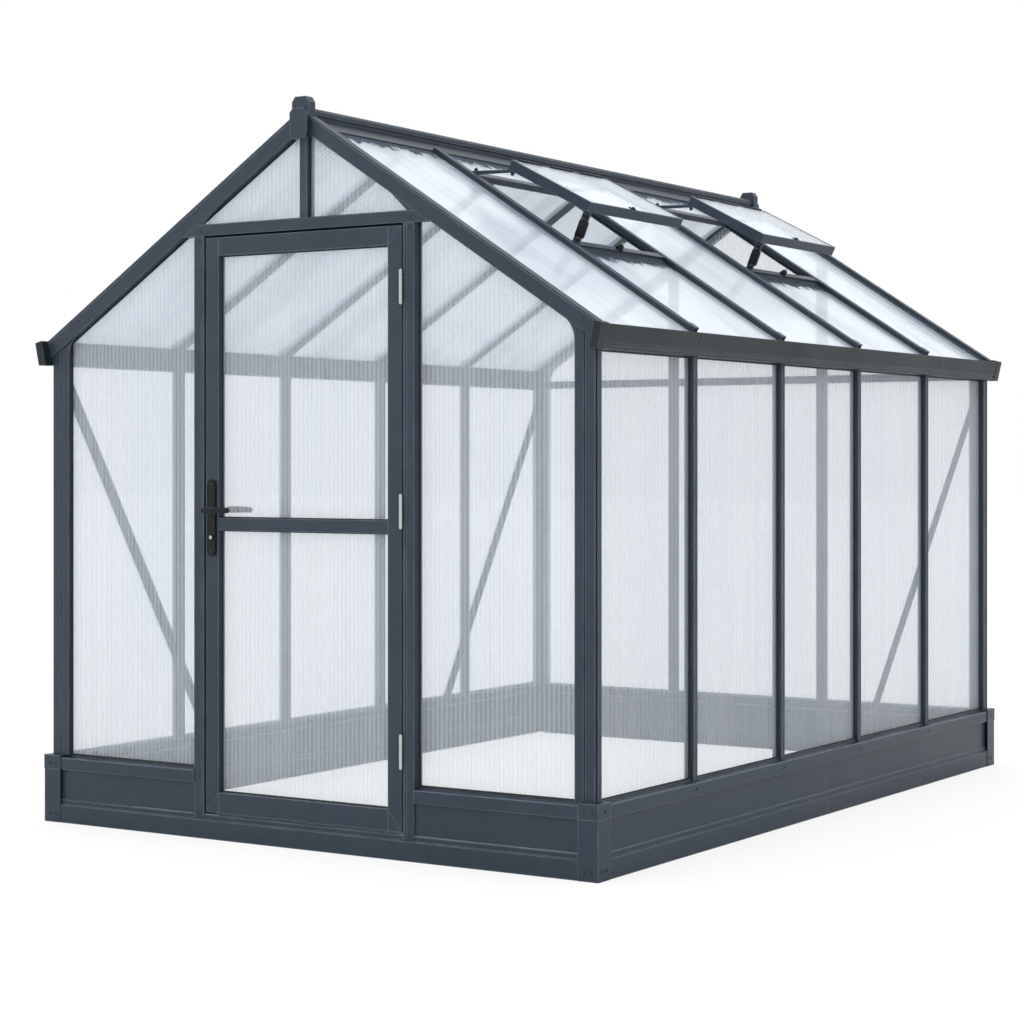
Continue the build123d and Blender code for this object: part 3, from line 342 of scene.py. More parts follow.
def sheetMaterial(name, look, across):
    # twin-wall sheet: clear channels between pale webs, soft clouds of painted reflection that run along
    # them
    material, tree, shader, place = startMaterial(name)
    split = tree.nodes.new("ShaderNodeSeparateXYZ")
    tree.links.new(place, split.inputs[0])
    flutes = useGroup(
        tree, fluteLines, {"Across": split.outputs[across], "Pitch": look["pitch"][across]}
    )
    stretch = tree.nodes.new("ShaderNodeMapping")
    wide, narrow = sheetGrain["acrossStretch"], sheetGrain["alongStretch"]
    scales = {"X": (wide, 1.0, narrow), "Y": (narrow, wide, narrow)}
    stretch.inputs["Scale"].default_value = scales[across]
    tree.links.new(place, stretch.inputs["Vector"])
    reflectionCloud = noiseNode(tree, stretch.outputs[0], look["reflectionCloudScale"], 1.0)
    reflectionCloudMask = rangeNode(tree, reflectionCloud, 0.47, 0.68, 0.0, 1.0)
    # painted reflection: darker clouds mixed into the sheet colour
    reflectionClouded = mixColour(tree, reflectionCloudMask, look["colour"], look["reflectionCloud"])
    lined = mixColour(tree, flutes.outputs["Line"], reflectionClouded, look["line"])
    tree.links.new(lined, shader.inputs["Base Color"])
    shader.inputs["Roughness"].default_value = look["rough"]
    shader.inputs["Specular IOR Level"].default_value = look["shine"]
    drift = sheetGrain["channelDrift"]
    channel = rangeNode(
        tree, flutes.outputs["Channel"], 0.0, 1.0, look["alpha"] - drift, look["alpha"] + drift
    )
    raised = mathNode(tree, "MULTIPLY", flutes.outputs["Line"], look["lineAlpha"] - look["alpha"])
    tree.links.new(mathNode(tree, "ADD", channel, raised), shader.inputs["Alpha"])
    return material


brush = {"stretch": (60.0, 60.0, 900.0), "roughDrop": 0.06, "roughRise": 0.08, "bump": 0.1}
metalLooks = {  # darkest and palest colour, roughness, metallic, specular level
    "brightSteel": ((0.42, 0.43, 0.44), (0.60, 0.60, 0.61), 0.30, 1.0, 0.5),
    "screwSteel": ((0.030, 0.035, 0.042), (0.070, 0.080, 0.095), 0.22, 0.7, 0.5),
    "handleBlack": ((0.0035, 0.0040, 0.0050), (0.006, 0.007, 0.009), 0.30, 0.0, 0.22),
    "rubberBlack": ((0.006, 0.007, 0.008), (0.011, 0.012, 0.013), 0.7, 0.0, 0.5),
    # dark colour of the strips that stand as painted shade in the flute ends
    "fluteShade": ((0.012, 0.026, 0.050), (0.035, 0.060, 0.100), 0.8, 0.0, 0.5),
}


def metalMaterial(name, look):
    low, high, rough, metal, shine = look
    material, tree, shader, place = startMaterial(name)
    brushed = tree.nodes.new("ShaderNodeMapping")
    brushed.inputs["Scale"].default_value = brush["stretch"]
    tree.links.new(place, brushed.inputs["Vector"])
    lines = noiseNode(tree, brushed.outputs[0], 1.0, 2.0, 0.6)
    tree.links.new(mixColour(tree, lines, low, high), shader.inputs["Base Color"])
    smoothest, roughest = rough - brush["roughDrop"], rough + brush["roughRise"]
    tree.links.new(rangeNode(tree, lines, 0.3, 0.7, smoothest, roughest), shader.inputs["Roughness"])
    shader.inputs["Metallic"].default_value = metal
    shader.inputs["Specular IOR Level"].default_value = shine
    addBump(tree, shader, lines, brush["bump"])
    return material


framePaint = paintMaterial("framePaint", paintLooks["framePaint"])
gutterPaint = paintMaterial("gutterPaint", paintLooks["gutterPaint"])
wallAlongY = sheetMaterial("wallSheetSide", sheetLooks["wall"], "Y")
wallAlongX = sheetMaterial("wallSheetGable", sheetLooks["wall"], "X")
roofSheet = sheetMaterial("roofSheet", sheetLooks["roof"], "Y")
metals = {name: metalMaterial(name, look) for name, look in metalLooks.items()}

finishOf = {
    "frame_paint": framePaint,
    "gutter_paint": gutterPaint,
    "roof_sheet": roofSheet,
    "bright_steel": metals["brightSteel"],
    "handle_black": metals["handleBlack"],
}
slotOf = {part["node"]: part["material_slot"] for part in frame["record"]["subparts"]}
for name, node in nodes.items():
    if slotOf[name] == "wall_sheet":
        finish = wallAlongY if name.startswith("side_") else wallAlongX
    else:
        finish = finishOf[slotOf[name]]
    node.data.materials.clear()
    node.data.materials.append(finish)
print("finishes set on", len(nodes), "nodes")


# Mesh helpers.
def addPiece(name, mesh, body, material):
    piece = bpy.data.objects.new(name, mesh)
    scene.collection.objects.link(piece)
    if material:
        mesh.materials.clear()
        mesh.materials.append(material)
    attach(piece, body)
    return piece


def finishMesh(shape, name, smooth=True):
    bmesh.ops.remove_doubles(shape, verts=shape.verts, dist=0.00002)
    bmesh.ops.recalc_face_normals(shape, faces=shape.faces)
    mesh = bpy.data.meshes.new(name)
    shape.to_mesh(mesh)
    shape.free()
    if smooth:
        mesh.shade_smooth()
        mesh.set_sharp_from_angle(angle=math.radians(35))
    return mesh


def addSweep(shape, rings, closed=True, capped=True):
    # rings of points, joined one to the next
    loops = [[shape.verts.new(point) for point in ring] for ring in rings]
    count = len(loops[0])
    for first, second in zip(loops, loops[1:]):
        for index in range(count if closed else count - 1):
            after = (index + 1) % count
            shape.faces.new((first[index], first[after], second[after], second[index]))
    if capped:
        shape.faces.new(list(reversed(loops[0])))
        shape.faces.new(loops[-1])
    return loops


def addTurned(shape, origin, axis, profile, steps=28):
    # profile: (distance along the axis, radius) from one end to the other
    axis = Vector(axis).normalized()
    side = axis.orthogonal().normalized()
    other = axis.cross(side)
    turns = [2 * math.pi * step / steps for step in range(steps)]
    rings = []
    for along, radius in profile:
        centre = Vector(origin) + axis * along
        rings.append(
            [centre + side * radius * math.cos(turn) + other * radius * math.sin(turn) for turn in turns]
        )
    addSweep(shape, rings)


def addBlock(shape, low, high, edge):
    # box with its edges chamfered
    part = bmesh.new()
    bmesh.ops.create_cube(part, size=1.0)
    size = [b - a for a, b in zip(low, high)]
    middle = [(a + b) / 2 for a, b in zip(low, high)]
    matrix = Matrix.Translation(middle) @ Matrix.Diagonal((*size, 1.0))
    bmesh.ops.transform(part, matrix=matrix, verts=part.verts)
    bmesh.ops.bevel(part, geom=part.edges[:], offset=edge, segments=2, affect="EDGES", profile=0.5)
    joinInto(shape, part)


def joinInto(shape, part, matrix=None):
    if matrix is not None:
        bmesh.ops.transform(part, matrix=matrix, verts=part.verts)
    scratch = bpy.data.meshes.new("scratch")
    part.to_mesh(scratch)
    part.free()
    shape.from_mesh(scratch)
    bpy.data.meshes.remove(scratch)


def slotOutline(length, width, inset, steps=12):
    # upright slot: straight sides, round ends
    radius = width / 2 - inset
    straight = length / 2 - width / 2
    points = []
    for firstAngle, middle in ((0.0, straight), (math.pi, -straight)):
        for step in range(steps + 1):
            angle = firstAngle + math.pi * step / steps
            points.append((radius * math.cos(angle), middle + radius * math.sin(angle)))
    return points


# Geometry node helpers.
def startTree(name, inputs):
    tree = bpy.data.node_groups.new(name, "GeometryNodeTree")
    tree.interface.new_socket("Geometry", in_out="INPUT", socket_type="NodeSocketGeometry")
    for socketName, kind in inputs:
        tree.interface.new_socket(socketName, in_out="INPUT", socket_type=kind)
    tree.interface.new_socket("Geometry", in_out="OUTPUT", socket_type="NodeSocketGeometry")
    return tree, tree.nodes.new("NodeGroupInput"), tree.nodes.new("NodeGroupOutput")


def endTree(tree, instances, into, out):
    # every grown piece ends as real meshes with one material
    real = tree.nodes.new("GeometryNodeRealizeInstances")
    tree.links.new(instances, real.inputs[0])
    paint = tree.nodes.new("GeometryNodeSetMaterial")
    tree.links.new(real.outputs[0], paint.inputs["Geometry"])
    tree.links.new(into.outputs["Material"], paint.inputs["Material"])
    tree.links.new(paint.outputs[0], out.inputs[0])


def namedAttribute(tree, name, kind):
    node = tree.nodes.new("GeometryNodeInputNamedAttribute")
    node.data_type = kind
    node.inputs["Name"].default_value = name
    return node.outputs["Attribute"]


def growPiece(name, baseMesh, tree, values, body):
    # runs one tree on a base mesh and keeps the plain result
    seedObject = bpy.data.objects.new(name + "Base", baseMesh)
    scene.collection.objects.link(seedObject)
    modifier = seedObject.modifiers.new(tree.name, "NODES")
    modifier.node_group = tree
    items = tree.interface.items_tree
    sockets = {item.name: item.identifier for item in items if item.in_out == "INPUT"}
    for socketName, value in values.items():
        modifier[sockets[socketName]] = value
    bpy.context.view_layer.update()
    evaluated = seedObject.evaluated_get(bpy.context.evaluated_depsgraph_get())
    grown = bpy.data.meshes.new_from_object(evaluated)
    grown.name = name
    seedObject.modifiers.remove(modifier)
    bpy.data.objects.remove(seedObject)
    return addPiece(name, grown, body, None)


# Screws and bolts: one pan head with a cross recess, on points that know which way they face.
screws = {
    "frame": {"radius": 0.0062, "height": 0.0034},
    "handle": {"radius": 0.0036, "height": 0.0014},
    "pivot": {"radius": 0.0075, "height": 0.0050},
    "sink": 0.0002,
    "sides": 18,
}


def makeScrewTree():
    tree, into, out = startTree(
        "panHeadScrews",
        [
            ("Head Radius", "NodeSocketFloat"),
            ("Head Height", "NodeSocketFloat"),
            ("Material", "NodeSocketMaterial"),
        ],
    )
    link = tree.links.new

    def share(name, part):
        return mathNode(tree, "MULTIPLY", into.outputs[name], part)

    def raised(shape, height):
        lift = tree.nodes.new("GeometryNodeTransform")
        liftBy = tree.nodes.new("ShaderNodeCombineXYZ")
        link(height, liftBy.inputs[2])
        link(shape, lift.inputs["Geometry"])
        link(liftBy.outputs[0], lift.inputs["Translation"])
        return lift.outputs[0]

    def cone(bottomShare, topShare, depthShare, liftShare):
        node = tree.nodes.new("GeometryNodeMeshCone")
        node.inputs["Vertices"].default_value = screws["sides"]
        link(share("Head Radius", bottomShare), node.inputs["Radius Bottom"])
        link(share("Head Radius", topShare), node.inputs["Radius Top"])
        link(share("Head Height", depthShare), node.inputs["Depth"])
        return raised(node.outputs["Mesh"], share("Head Height", liftShare))

    head = tree.nodes.new("GeometryNodeJoinGeometry")
    link(cone(1.0, 0.94, 0.45, 0.0), head.inputs[0])
    link(cone(0.94, 0.58, 0.55, 0.449), head.inputs[0])
    recess = tree.nodes.new("GeometryNodeJoinGeometry")
    for longAxis in (0, 1):
        size = tree.nodes.new("ShaderNodeCombineXYZ")
        link(share("Head Radius", 0.8), size.inputs[longAxis])
        link(share("Head Radius", 0.2), size.inputs[1 - longAxis])
        link(share("Head Height", 0.5), size.inputs[2])
        bar = tree.nodes.new("GeometryNodeMeshCube")
        link(size.outputs[0], bar.inputs["Size"])
        link(raised(bar.outputs["Mesh"], into.outputs["Head Height"]), recess.inputs[0])
    cut = tree.nodes.new("GeometryNodeMeshBoolean")
    cut.operation = "DIFFERENCE"
    link(head.outputs[0], cut.inputs["Mesh 1"])
    link(recess.outputs[0], cut.inputs["Mesh 2"])
    turn = tree.nodes.new("FunctionNodeAlignRotationToVector")
    turn.axis = "Z"
    link(namedAttribute(tree, "facing", "FLOAT_VECTOR"), turn.inputs["Vector"])
    toPoints = tree.nodes.new("GeometryNodeMeshToPoints")
    link(into.outputs["Geometry"], toPoints.inputs["Mesh"])
    spread = tree.nodes.new("GeometryNodeInstanceOnPoints")
    link(toPoints.outputs[0], spread.inputs["Points"])
    link(cut.outputs["Mesh"], spread.inputs["Instance"])
    link(turn.outputs[0], spread.inputs["Rotation"])
    endTree(tree, spread.outputs[0], into, out)
    return tree


screwTree = makeScrewTree()


def facingPoints(spots):
    mesh = bpy.data.meshes.new("facingPoints")
    places = [Vector(place) - Vector(facing).normalized() * screws["sink"] for place, facing in spots]
    mesh.from_pydata([tuple(place) for place in places], [], [])
    layer = mesh.attributes.new("facing", "FLOAT_VECTOR", "POINT")
    layer.data.foreach_set("vector", [number for _, facing in spots for number in facing])
    return mesh


def growScrews(name, spots, size, material, body):
    values = {"Head Radius": size["radius"], "Head Height": size["height"], "Material": material}
    growPiece(name, facingPoints(spots), screwTree, values, body)


screwPlaces = {
    "capInsets": (0.024, 0.050),
    "capSideInset": 0.040,
    "plateInsets": (0.026, 0.050),
    "plateHeight": 0.029,
    "plateSink": 0.0012,
    "sillHeight": 0.199,
    "sillSink": 0.0035,
    "sillOffset": 0.030,
    "rafterEndInset": 0.034,
    "rafterLevel": -0.030,
    "rafterSink": 0.014,
    "jambX": 0.4115,
    "jambSink": 0.008,
    "jambHeights": (0.076, 0.199, 1.921),
    "headerSink": 0.012,
    "headerHeight": 1.953,
    "gutterSplices": (-0.962, 0.962),
    "gutterHeights": (1.594, 1.572),
    "gutterFace": 1.1035,
    "gutterTop": 1.607,
    "gutterLean": 0.222,
}


def cornerScrews(wallSide, endSide):
    at = screwPlaces
    front = house["halfLength"]
    side = house["halfWidth"]
    faceY = (0, endSide, 0)
    faceX = (wallSide, 0, 0)
    spots = []
    # corner caps: two on the gable face, one on the side face
    for inset in at["capInsets"]:
        spots.append(((wallSide * (side - inset), endSide * front, at["sillHeight"]), faceY))
    spots.append(((wallSide * side, endSide * (front - at["capSideInset"]), at["sillHeight"]), faceX))
    # lower ends of the corner plates
    for inset in at["plateInsets"]:
        gableSpot = (wallSide * (side - inset), endSide * (front - at["plateSink"]), at["plateHeight"])
        wallSpot = (wallSide * (side - at["plateSink"]), endSide * (front - inset), at["plateHeight"])
        spots += [(gableSpot, faceY), (wallSpot, faceX)]
    along = roofLength - at["rafterEndInset"]
    rafterEnd = roofPoint(wallSide, along, at["rafterLevel"], endSide * (front - at["rafterSink"]))
    spots.append((tuple(rafterEnd), faceY))
    return spots


def wallScrews(wallSide):
    at = screwPlaces
    front = house["halfLength"]
    side = house["halfWidth"]
    spots = []
    # jamb faces and header ends
    for height in at["jambHeights"]:
        spots.append(((wallSide * at["jambX"], -front + at["jambSink"], height), (0, -1, 0)))
    spots.append(((wallSide * at["jambX"], -front + at["headerSink"], at["headerHeight"]), (0, -1, 0)))
    # sill under each side bar
    for line in postLines:
        spot = (wallSide * (side - at["sillSink"]), line - at["sillOffset"], at["sillHeight"])
        spots.append((spot, (wallSide, 0, 0)))
    # gutter joints, square to the leaning face
    lean = Vector((1.0, 0.0, -at["gutterLean"])).normalized()
    for spliceY in at["gutterSplices"]:
        for height in at["gutterHeights"]:
            face = at["gutterFace"] - at["gutterLean"] * (at["gutterTop"] - height)
            spots.append(((wallSide * face, spliceY, height), (wallSide * lean.x, 0, lean.z)))
    return spots


def frameScrews():
    spots = []
    for endSide in (-1, 1):
        for wallSide in (-1, 1):
            spots += cornerScrews(wallSide, endSide)
    for wallSide in (-1, 1):
        spots += wallScrews(wallSide)
    return spots


growScrews("frame_screws", frameScrews(), screws["frame"], metals["screwSteel"], "house")
print("frame screws set")

# Door furniture.
handle = {
    "x": -0.3585,
    "plateMiddle": 1.0302,
    "spindleHeight": 1.0552,
    "lockHeight": 0.9672,
    "plateLength": 0.246,
    "plateWidth": 0.035,
    "fieldInset": 0.0055,
    "screwRise": 0.108,
    "screwSeat": 0.0060,
    "leafFront": -1.5503,
    "leafBack": -1.5197,
}
lever = {
    "length": 0.105,
    "heel": 0.0085,
    "tall": 0.0108,
    "tallTaper": 0.0016,
    "thick": 0.0062,
    "thickTaper": 0.0006,
    "standOff": 0.0465,
    "inwardBend": 0.0030,
    "bow": 0.0012,
    "drop": 0.0004,
    "squareness": 0.75,
    "steps": 22,
    "sides": 16,
}
spindle = {"radius": 0.0050, "lockRadius": 0.0080, "start": 0.004, "length": 0.0226}


def addPlate(shape, faceY, outward):
    # rounded edge, then a slightly sunk field inside a raised rim
    levels = (
        (0.0, 0.0),
        (0.0, 0.0050),
        (0.0006, 0.0064),
        (0.0020, 0.0070),
        (0.0042, 0.0070),
        (handle["fieldInset"], 0.0058),
    )
    rings = []
    for inset, rise in levels:
        outline = slotOutline(handle["plateLength"], handle["plateWidth"], inset)
        y = faceY + outward * rise
        rings.append([Vector((handle["x"] + x, y, handle["plateMiddle"] + z)) for x, z in outline])
    addSweep(shape, rings)


def addLever(shape, faceY, outward):
    # rose, neck and a grip that bows slightly and thins to a round tip
    centreLine = Vector((handle["x"], faceY, handle["spindleHeight"]))
    for profile in (
        ((0.0055, 0.0100), (0.0092, 0.0100), (0.0104, 0.0090), (0.0110, 0.0078), (0.0150, 0.0070)),
        ((0.0140, 0.0066), (0.0400, 0.0066), (0.0460, 0.0074), (0.0510, 0.0060), (0.0525, 0.0030)),
    ):
        addTurned(shape, centreLine, (0, outward, 0), profile)
    rings = []
    steps = lever["steps"]
    sides = lever["sides"]
    for step in range(steps + 1):
        share = step / steps
        x = -lever["heel"] + share * (lever["length"] + lever["heel"])
        end = min(1.0, math.sqrt(max(0.0, 1 - max(0.0, share * steps - (steps - 2)) ** 2 / 4.6)))
        start = min(1.0, 0.35 + 0.3 * step)
        tall = (lever["tall"] - lever["tallTaper"] * share) * end * start
        thick = (lever["thick"] - lever["thickTaper"] * share) * end * start
        bow = lever["bow"] * math.sin(math.pi * share) - lever["drop"]
        back = lever["standOff"] - lever["inwardBend"] * share * share
        centre = centreLine + Vector((x, outward * back, bow))
        ring = []
        for side in range(sides):
            turn = 2 * math.pi * side / sides
            depth = thick * math.copysign(abs(math.cos(turn)) ** lever["squareness"], math.cos(turn))
            rise = tall * math.copysign(abs(math.sin(turn)) ** lever["squareness"], math.sin(turn))
            ring.append(centre + Vector((0, depth, rise)))
        rings.append(ring)
    addSweep(shape, rings)


def addLock(dark, bright, faceY, outward):
    origin = Vector((handle["x"], faceY, handle["lockHeight"]))
    axis = (0, outward, 0)
    collar = ((0.0052, 0.0100), (0.0082, 0.0100), (0.0090, 0.0092), (0.0090, 0.0066), (0.0078, 0.0062))
    addTurned(dark, origin, axis, collar)
    addTurned(bright, origin, axis, ((0.0060, 0.0058), (0.0088, 0.0058), (0.0093, 0.0050)))
    # keyway
    nearY, farY = sorted((faceY + outward * 0.0080, faceY + outward * 0.0095))
    low = (origin.x - 0.0007, nearY, origin.z - 0.0040)
    addBlock(dark, low, (origin.x + 0.0007, farY, origin.z + 0.0040), 0.0002)


plateShape = bmesh.new()
leverShape = bmesh.new()
lockBright = bmesh.new()
handleSpots = []
for faceY, outward in ((handle["leafFront"], -1), (handle["leafBack"], 1)):
    addPlate(plateShape, faceY, outward)
    addLever(leverShape, faceY, outward)
    addLock(plateShape, lockBright, faceY, outward)
    for rise in (-handle["screwRise"], handle["screwRise"]):
        spot = (handle["x"], faceY + outward * handle["screwSeat"], handle["plateMiddle"] + rise)
        handleSpots.append((spot, (0, outward, 0)))
for shape, height, radius in (
    (leverShape, handle["spindleHeight"], spindle["radius"]),
    (lockBright, handle["lockHeight"], spindle["lockRadius"]),
):
    addTurned(
        shape,
        (handle["x"], handle["leafFront"] + spindle["start"], height),
        (0, 1, 0),
        ((0.0, radius), (spindle["length"], radius)),
    )
blackFinish = metals["handleBlack"]
steelFinish = metals["brightSteel"]
plateMesh = finishMesh(plateShape, "handlePlates")
plates = addPiece("handle_plates_shaped", plateMesh, "door", blackFinish)
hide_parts("handle_plates")
leverMesh = finishMesh(leverShape, "leverHandles")
levers = addPiece("lever_handles", leverMesh, "lever", blackFinish)
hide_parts("door_levers")
lockMesh = finishMesh(lockBright, "lockBarrel")
lock = addPiece("lock_barrel", lockMesh, "door", steelFinish)
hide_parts("lock_cylinder")
growScrews("handle_screws", handleSpots, screws["handle"], metals["screwSteel"], "door")

hinges = {"x": 0.3875, "y": -1.558, "heights": (0.330, 1.0582, 1.740), "length": 0.102}


def addHingePins():
    shape = bmesh.new()
    for height in hinges["heights"]:
        for end in (-1, 1):
            tip = height + end * hinges["length"] / 2 - (0.0003 if end > 0 else 0.0)
            addTurned(
                shape,
                (hinges["x"], hinges["y"], tip),
                (0, 0, end),
                ((-0.0004, 0.0046), (0.0010, 0.0048), (0.0024, 0.0040), (0.0032, 0.0018)),
                20,
            )
    mesh = finishMesh(shape, "hingePinHeads")
    addPiece("hinge_pin_heads", mesh, "house", steelFinish)


addHingePins()

doorStop = {
    "innerX": 0.3770,
    "outerX": 0.3909,
    "bulbX": 0.3858,
    "bulbRadius": 0.0018,
    "front": -1.5194,
    "back": -1.5135,
    "foot": 0.0808,
    "top": 1.9200,
    "head": 1.9400,
    "headerBack": -1.5212,
    "headerFoot": 1.9353,
}


def addDoorStops():
    # rubber stop behind the closed leaf: a strip with a bulb on each jamb, an angle on the header
    shape = bmesh.new()
    front, back, foot, top = (doorStop[name] for name in ("front", "back", "foot", "top"))
    for side in (-1, 1):
        nearX, farX = sorted((side * doorStop["innerX"], side * doorStop["outerX"]))
        addBlock(shape, (nearX, front, foot), (farX, back, top - 0.0002), 0.0012)
        addTurned(
            shape,
            (side * doorStop["bulbX"], front + 0.0014, foot + 0.002),
            (0, 0, 1),
            ((0.0, doorStop["bulbRadius"]), (top - foot - 0.004, doorStop["bulbRadius"])),
            12,
        )
    reach = doorStop["outerX"]
    addBlock(shape, (-reach, front, top), (reach, back, doorStop["head"]), 0.0012)
    addBlock(
        shape,
        (-reach, doorStop["headerBack"], doorStop["headerFoot"]),
        (reach, front + 0.0005, doorStop["head"] - 0.0005),
        0.0005,
    )
    addPiece("door_stops", finishMesh(shape, "doorStops"), "house", metals["rubberBlack"])


addDoorStops()
print("door furniture made")


# Glazing beads: quarter-round rubber round every clear opening.
bead = {
    "steps": 4,
    "wall": (0.0045, 0.0045),
    "doorOuter": (0.0035, 0.0045),
    "doorInner": (0.0035, 0.0018),
    "foot": 0.2252,
    "underRafter": -0.0523,
    "gableFace": -1.5211,
    "jambEdge": 0.4321,
    "cornerEdge": 0.9904,
    "headerTop": 1.9712,
    "kingEdge": 0.0146,
    "sideFace": 1.0406,
    "sideTop": 1.5345,
    "sideEnd": 1.5019,
    "barHalf": 0.0121,
    "leafEdge": 0.3329,
    "leafPanes": ((0.1516, 0.9901), (1.0303, 1.8689)),
    "leafOuterFace": -1.5281,
    "leafInnerFace": -1.5219,
}


def addBead(shape, corners, place, size):
    # corners: the opening's outline in its own plane; place turns (u, v, out) into the frame
    width, depth = size
    count = len(corners)
    middle = Vector((sum(c[0] for c in corners) / count, sum(c[1] for c in corners) / count))
    rings = []
    for index in range(count):
        here = Vector(corners[index])
        before = (here - Vector(corners[index - 1])).normalized()
        after = (Vector(corners[(index + 1) % count]) - here).normalized()
        normals = []
        for run in (before, after):
            normal = Vector((-run.y, run.x))
            if normal.dot(middle - here) < 0:
                normal = -normal
            normals.append(normal)
        bisector = (normals[0] + normals[1]).normalized()
        reach = 1.0 / max(0.3, bisector.dot(normals[0]))
        ring = [place(here.x, here.y, 0.0)]
        for step in range(bead["steps"] + 1):
            turn = math.pi / 2 * step / bead["steps"]
            inset = width * math.sin(turn)
            out = depth * math.cos(turn)
            spot = here + bisector * reach * inset
            ring.append(place(spot.x, spot.y, out))
        rings.append(ring)
    loops = [[shape.verts.new(point) for point in ring] for ring in rings]
    for index in range(count):
        first, second = loops[index], loops[(index + 1) % count]
        for corner in range(len(first)):
            nextCorner = (corner + 1) % len(first)
            shape.faces.new((first[corner], first[nextCorner], second[nextCorner], second[corner]))


def rectangle(lowU, highU, lowV, highV):
    return [(lowU, lowV), (highU, lowV), (highU, highV), (lowU, highV)]


def underRafter(x):
    return roofHeight(x, bead["underRafter"])


def gableBeads(shape):
    face, foot, jambEdge, cornerEdge = (
        bead[name] for name in ("gableFace", "foot", "jambEdge", "cornerEdge")
    )
    headerTop, kingEdge = bead["headerTop"], bead["kingEdge"]
    rise = house["apex"] + bead["underRafter"] / math.cos(slope) - headerTop
    headerTip = rise / math.tan(slope)
    for side in (-1, 1):
        panel = [
            (side * jambEdge, foot),
            (side * cornerEdge, foot),
            (side * cornerEdge, underRafter(cornerEdge)),
            (side * jambEdge, underRafter(jambEdge)),
        ]
        peak = [
            (side * kingEdge, headerTop),
            (side * headerTip, headerTop),
            (side * kingEdge, underRafter(kingEdge)),
        ]
        for corners in (panel, peak):
            addBead(shape, corners, lambda u, v, out: Vector((u, face - out, v)), bead["wall"])


def sideBeads(shape):
    end, barHalf = bead["sideEnd"], bead["barHalf"]
    starts = [-end] + [line + barHalf for line in postLines]
    stops = [line - barHalf for line in postLines] + [end]
    for side in (-1, 1):
        face = side * bead["sideFace"]
        for start, stop in zip(starts, stops):
            corners = rectangle(start, stop, bead["foot"], bead["sideTop"])
            addBead(shape, corners, lambda u, v, out: Vector((face + side * out, u, v)), bead["wall"])


def doorBeads(shape):
    edge = bead["leafEdge"]
    for low, high in bead["leafPanes"]:
        for face, outward, size in (
            (bead["leafOuterFace"], -1, bead["doorOuter"]),
            (bead["leafInnerFace"], 1, bead["doorInner"]),
        ):
            corners = rectangle(-edge, edge, low, high)
            addBead(shape, corners, lambda u, v, out: Vector((u, face + outward * out, v)), size)


rubber = metals["rubberBlack"]
frameBeads = bmesh.new()
gableBeads(frameBeads)
sideBeads(frameBeads)
addPiece("glazing_beads", finishMesh(frameBeads, "glazingBeads"), "house", rubber)
leafBeads = bmesh.new()
doorBeads(leafBeads)
addPiece("door_beads", finishMesh(leafBeads, "doorBeads"), "door", rubber)
print("glazing beads made")


# Roof: end clips on the bars, vent fittings and painted shade in the flute ends.
clip = {
    "width": 0.030,
    "length": 0.030,
    "thickness": 0.0025,
    "drop": 0.016,
    "lip": 0.0028,
    "edge": 0.0006,
}


def slopeMatrix(side, along, level, y):
    # local X down the slope, Y along the house, Z out of the roof
    down = Vector((side * math.cos(slope), 0, -math.sin(slope)))
    out = Vector((side * math.sin(slope), 0, math.cos(slope)))
    across = out.cross(down)
    matrix = Matrix((down, across, out)).transposed().to_4x4()
    matrix.translation = roofPoint(side, along, level, y)
    return matrix


def addBarClips():
    # a flat tab on each roof bar, turned down over its lower end
    shape = bmesh.new()
    half, top = clip["width"] / 2, clip["thickness"]
    for side in (-1, 1):
        for line in postLines:
            part = bmesh.new()
            addBlock(part, (-clip["length"], -half, 0.0002), (0.0, half, top), clip["edge"])
            addBlock(part, (-0.0002, -half, -clip["drop"]), (clip["lip"], half, top), clip["edge"])
            joinInto(shape, part, slopeMatrix(side, barEnd, 0.0, line))
    mesh = finishMesh(shape, "roofBarClips", False)
    addPiece("roof_bar_clips", mesh, "house", framePaint)


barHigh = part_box("roof_bars_right")[1]
barEnd = (barHigh[0] - 0.0001) / math.cos(slope) - 0.004
addBarClips()

vent = {
    "panelTop": 0.386,
    "length": 0.340,
    "liftTop": 0.076,
    "liftBottom": 0.107,
    "frameDepth": 0.034,
    "barHalf": 0.0123,
    "endBarInset": 0.062,
    "endBarHalf": 0.012,
    "hingeRadius": 0.0028,
    "stayInset": 0.030,
    "stayThickness": 0.008,
}
ventTilt = math.asin((vent["liftBottom"] - vent["liftTop"]) / vent["length"])


def ventPoint(down, above, y):
    along = vent["panelTop"] + down * math.cos(ventTilt) - above * math.sin(ventTilt)
    level = vent["liftTop"] + down * math.sin(ventTilt) + above * math.cos(ventTilt)
    return roofPoint(1, along, level, y)


def ventAxes(y, down, above):
    start = ventPoint(down, above, y)
    run = (ventPoint(down + 0.1, above, y) - start).normalized()
    out = (ventPoint(down, above + 0.1, y) - start).normalized()
    matrix = Matrix((run, out.cross(run), out)).transposed().to_4x4()
    matrix.translation = start
    return matrix


def baySpan(bay):
    front = -house["halfLength"] + vent["endBarInset"] - vent["endBarHalf"]
    rear = house["halfLength"] - vent["endBarInset"] + vent["endBarHalf"]
    lines = [front] + postLines + [rear]
    return lines[bay] + vent["barHalf"], lines[bay + 1] - vent["barHalf"]


def addHingeStrips(dark, low, high):
    # hinge strip rolled along the panel's top edge, in three lengths
    middle = (low + high) / 2
    radius = vent["hingeRadius"]
    spans = ((low + 0.03, low + 0.17), (middle - 0.07, middle + 0.07), (high - 0.17, high - 0.03))
    for start, end in spans:
        seat = ventPoint(0.001, vent["frameDepth"] + 0.0026, start)
        addTurned(dark, seat, (0, 1, 0), ((0.0, radius), (end - start, radius)), 14)


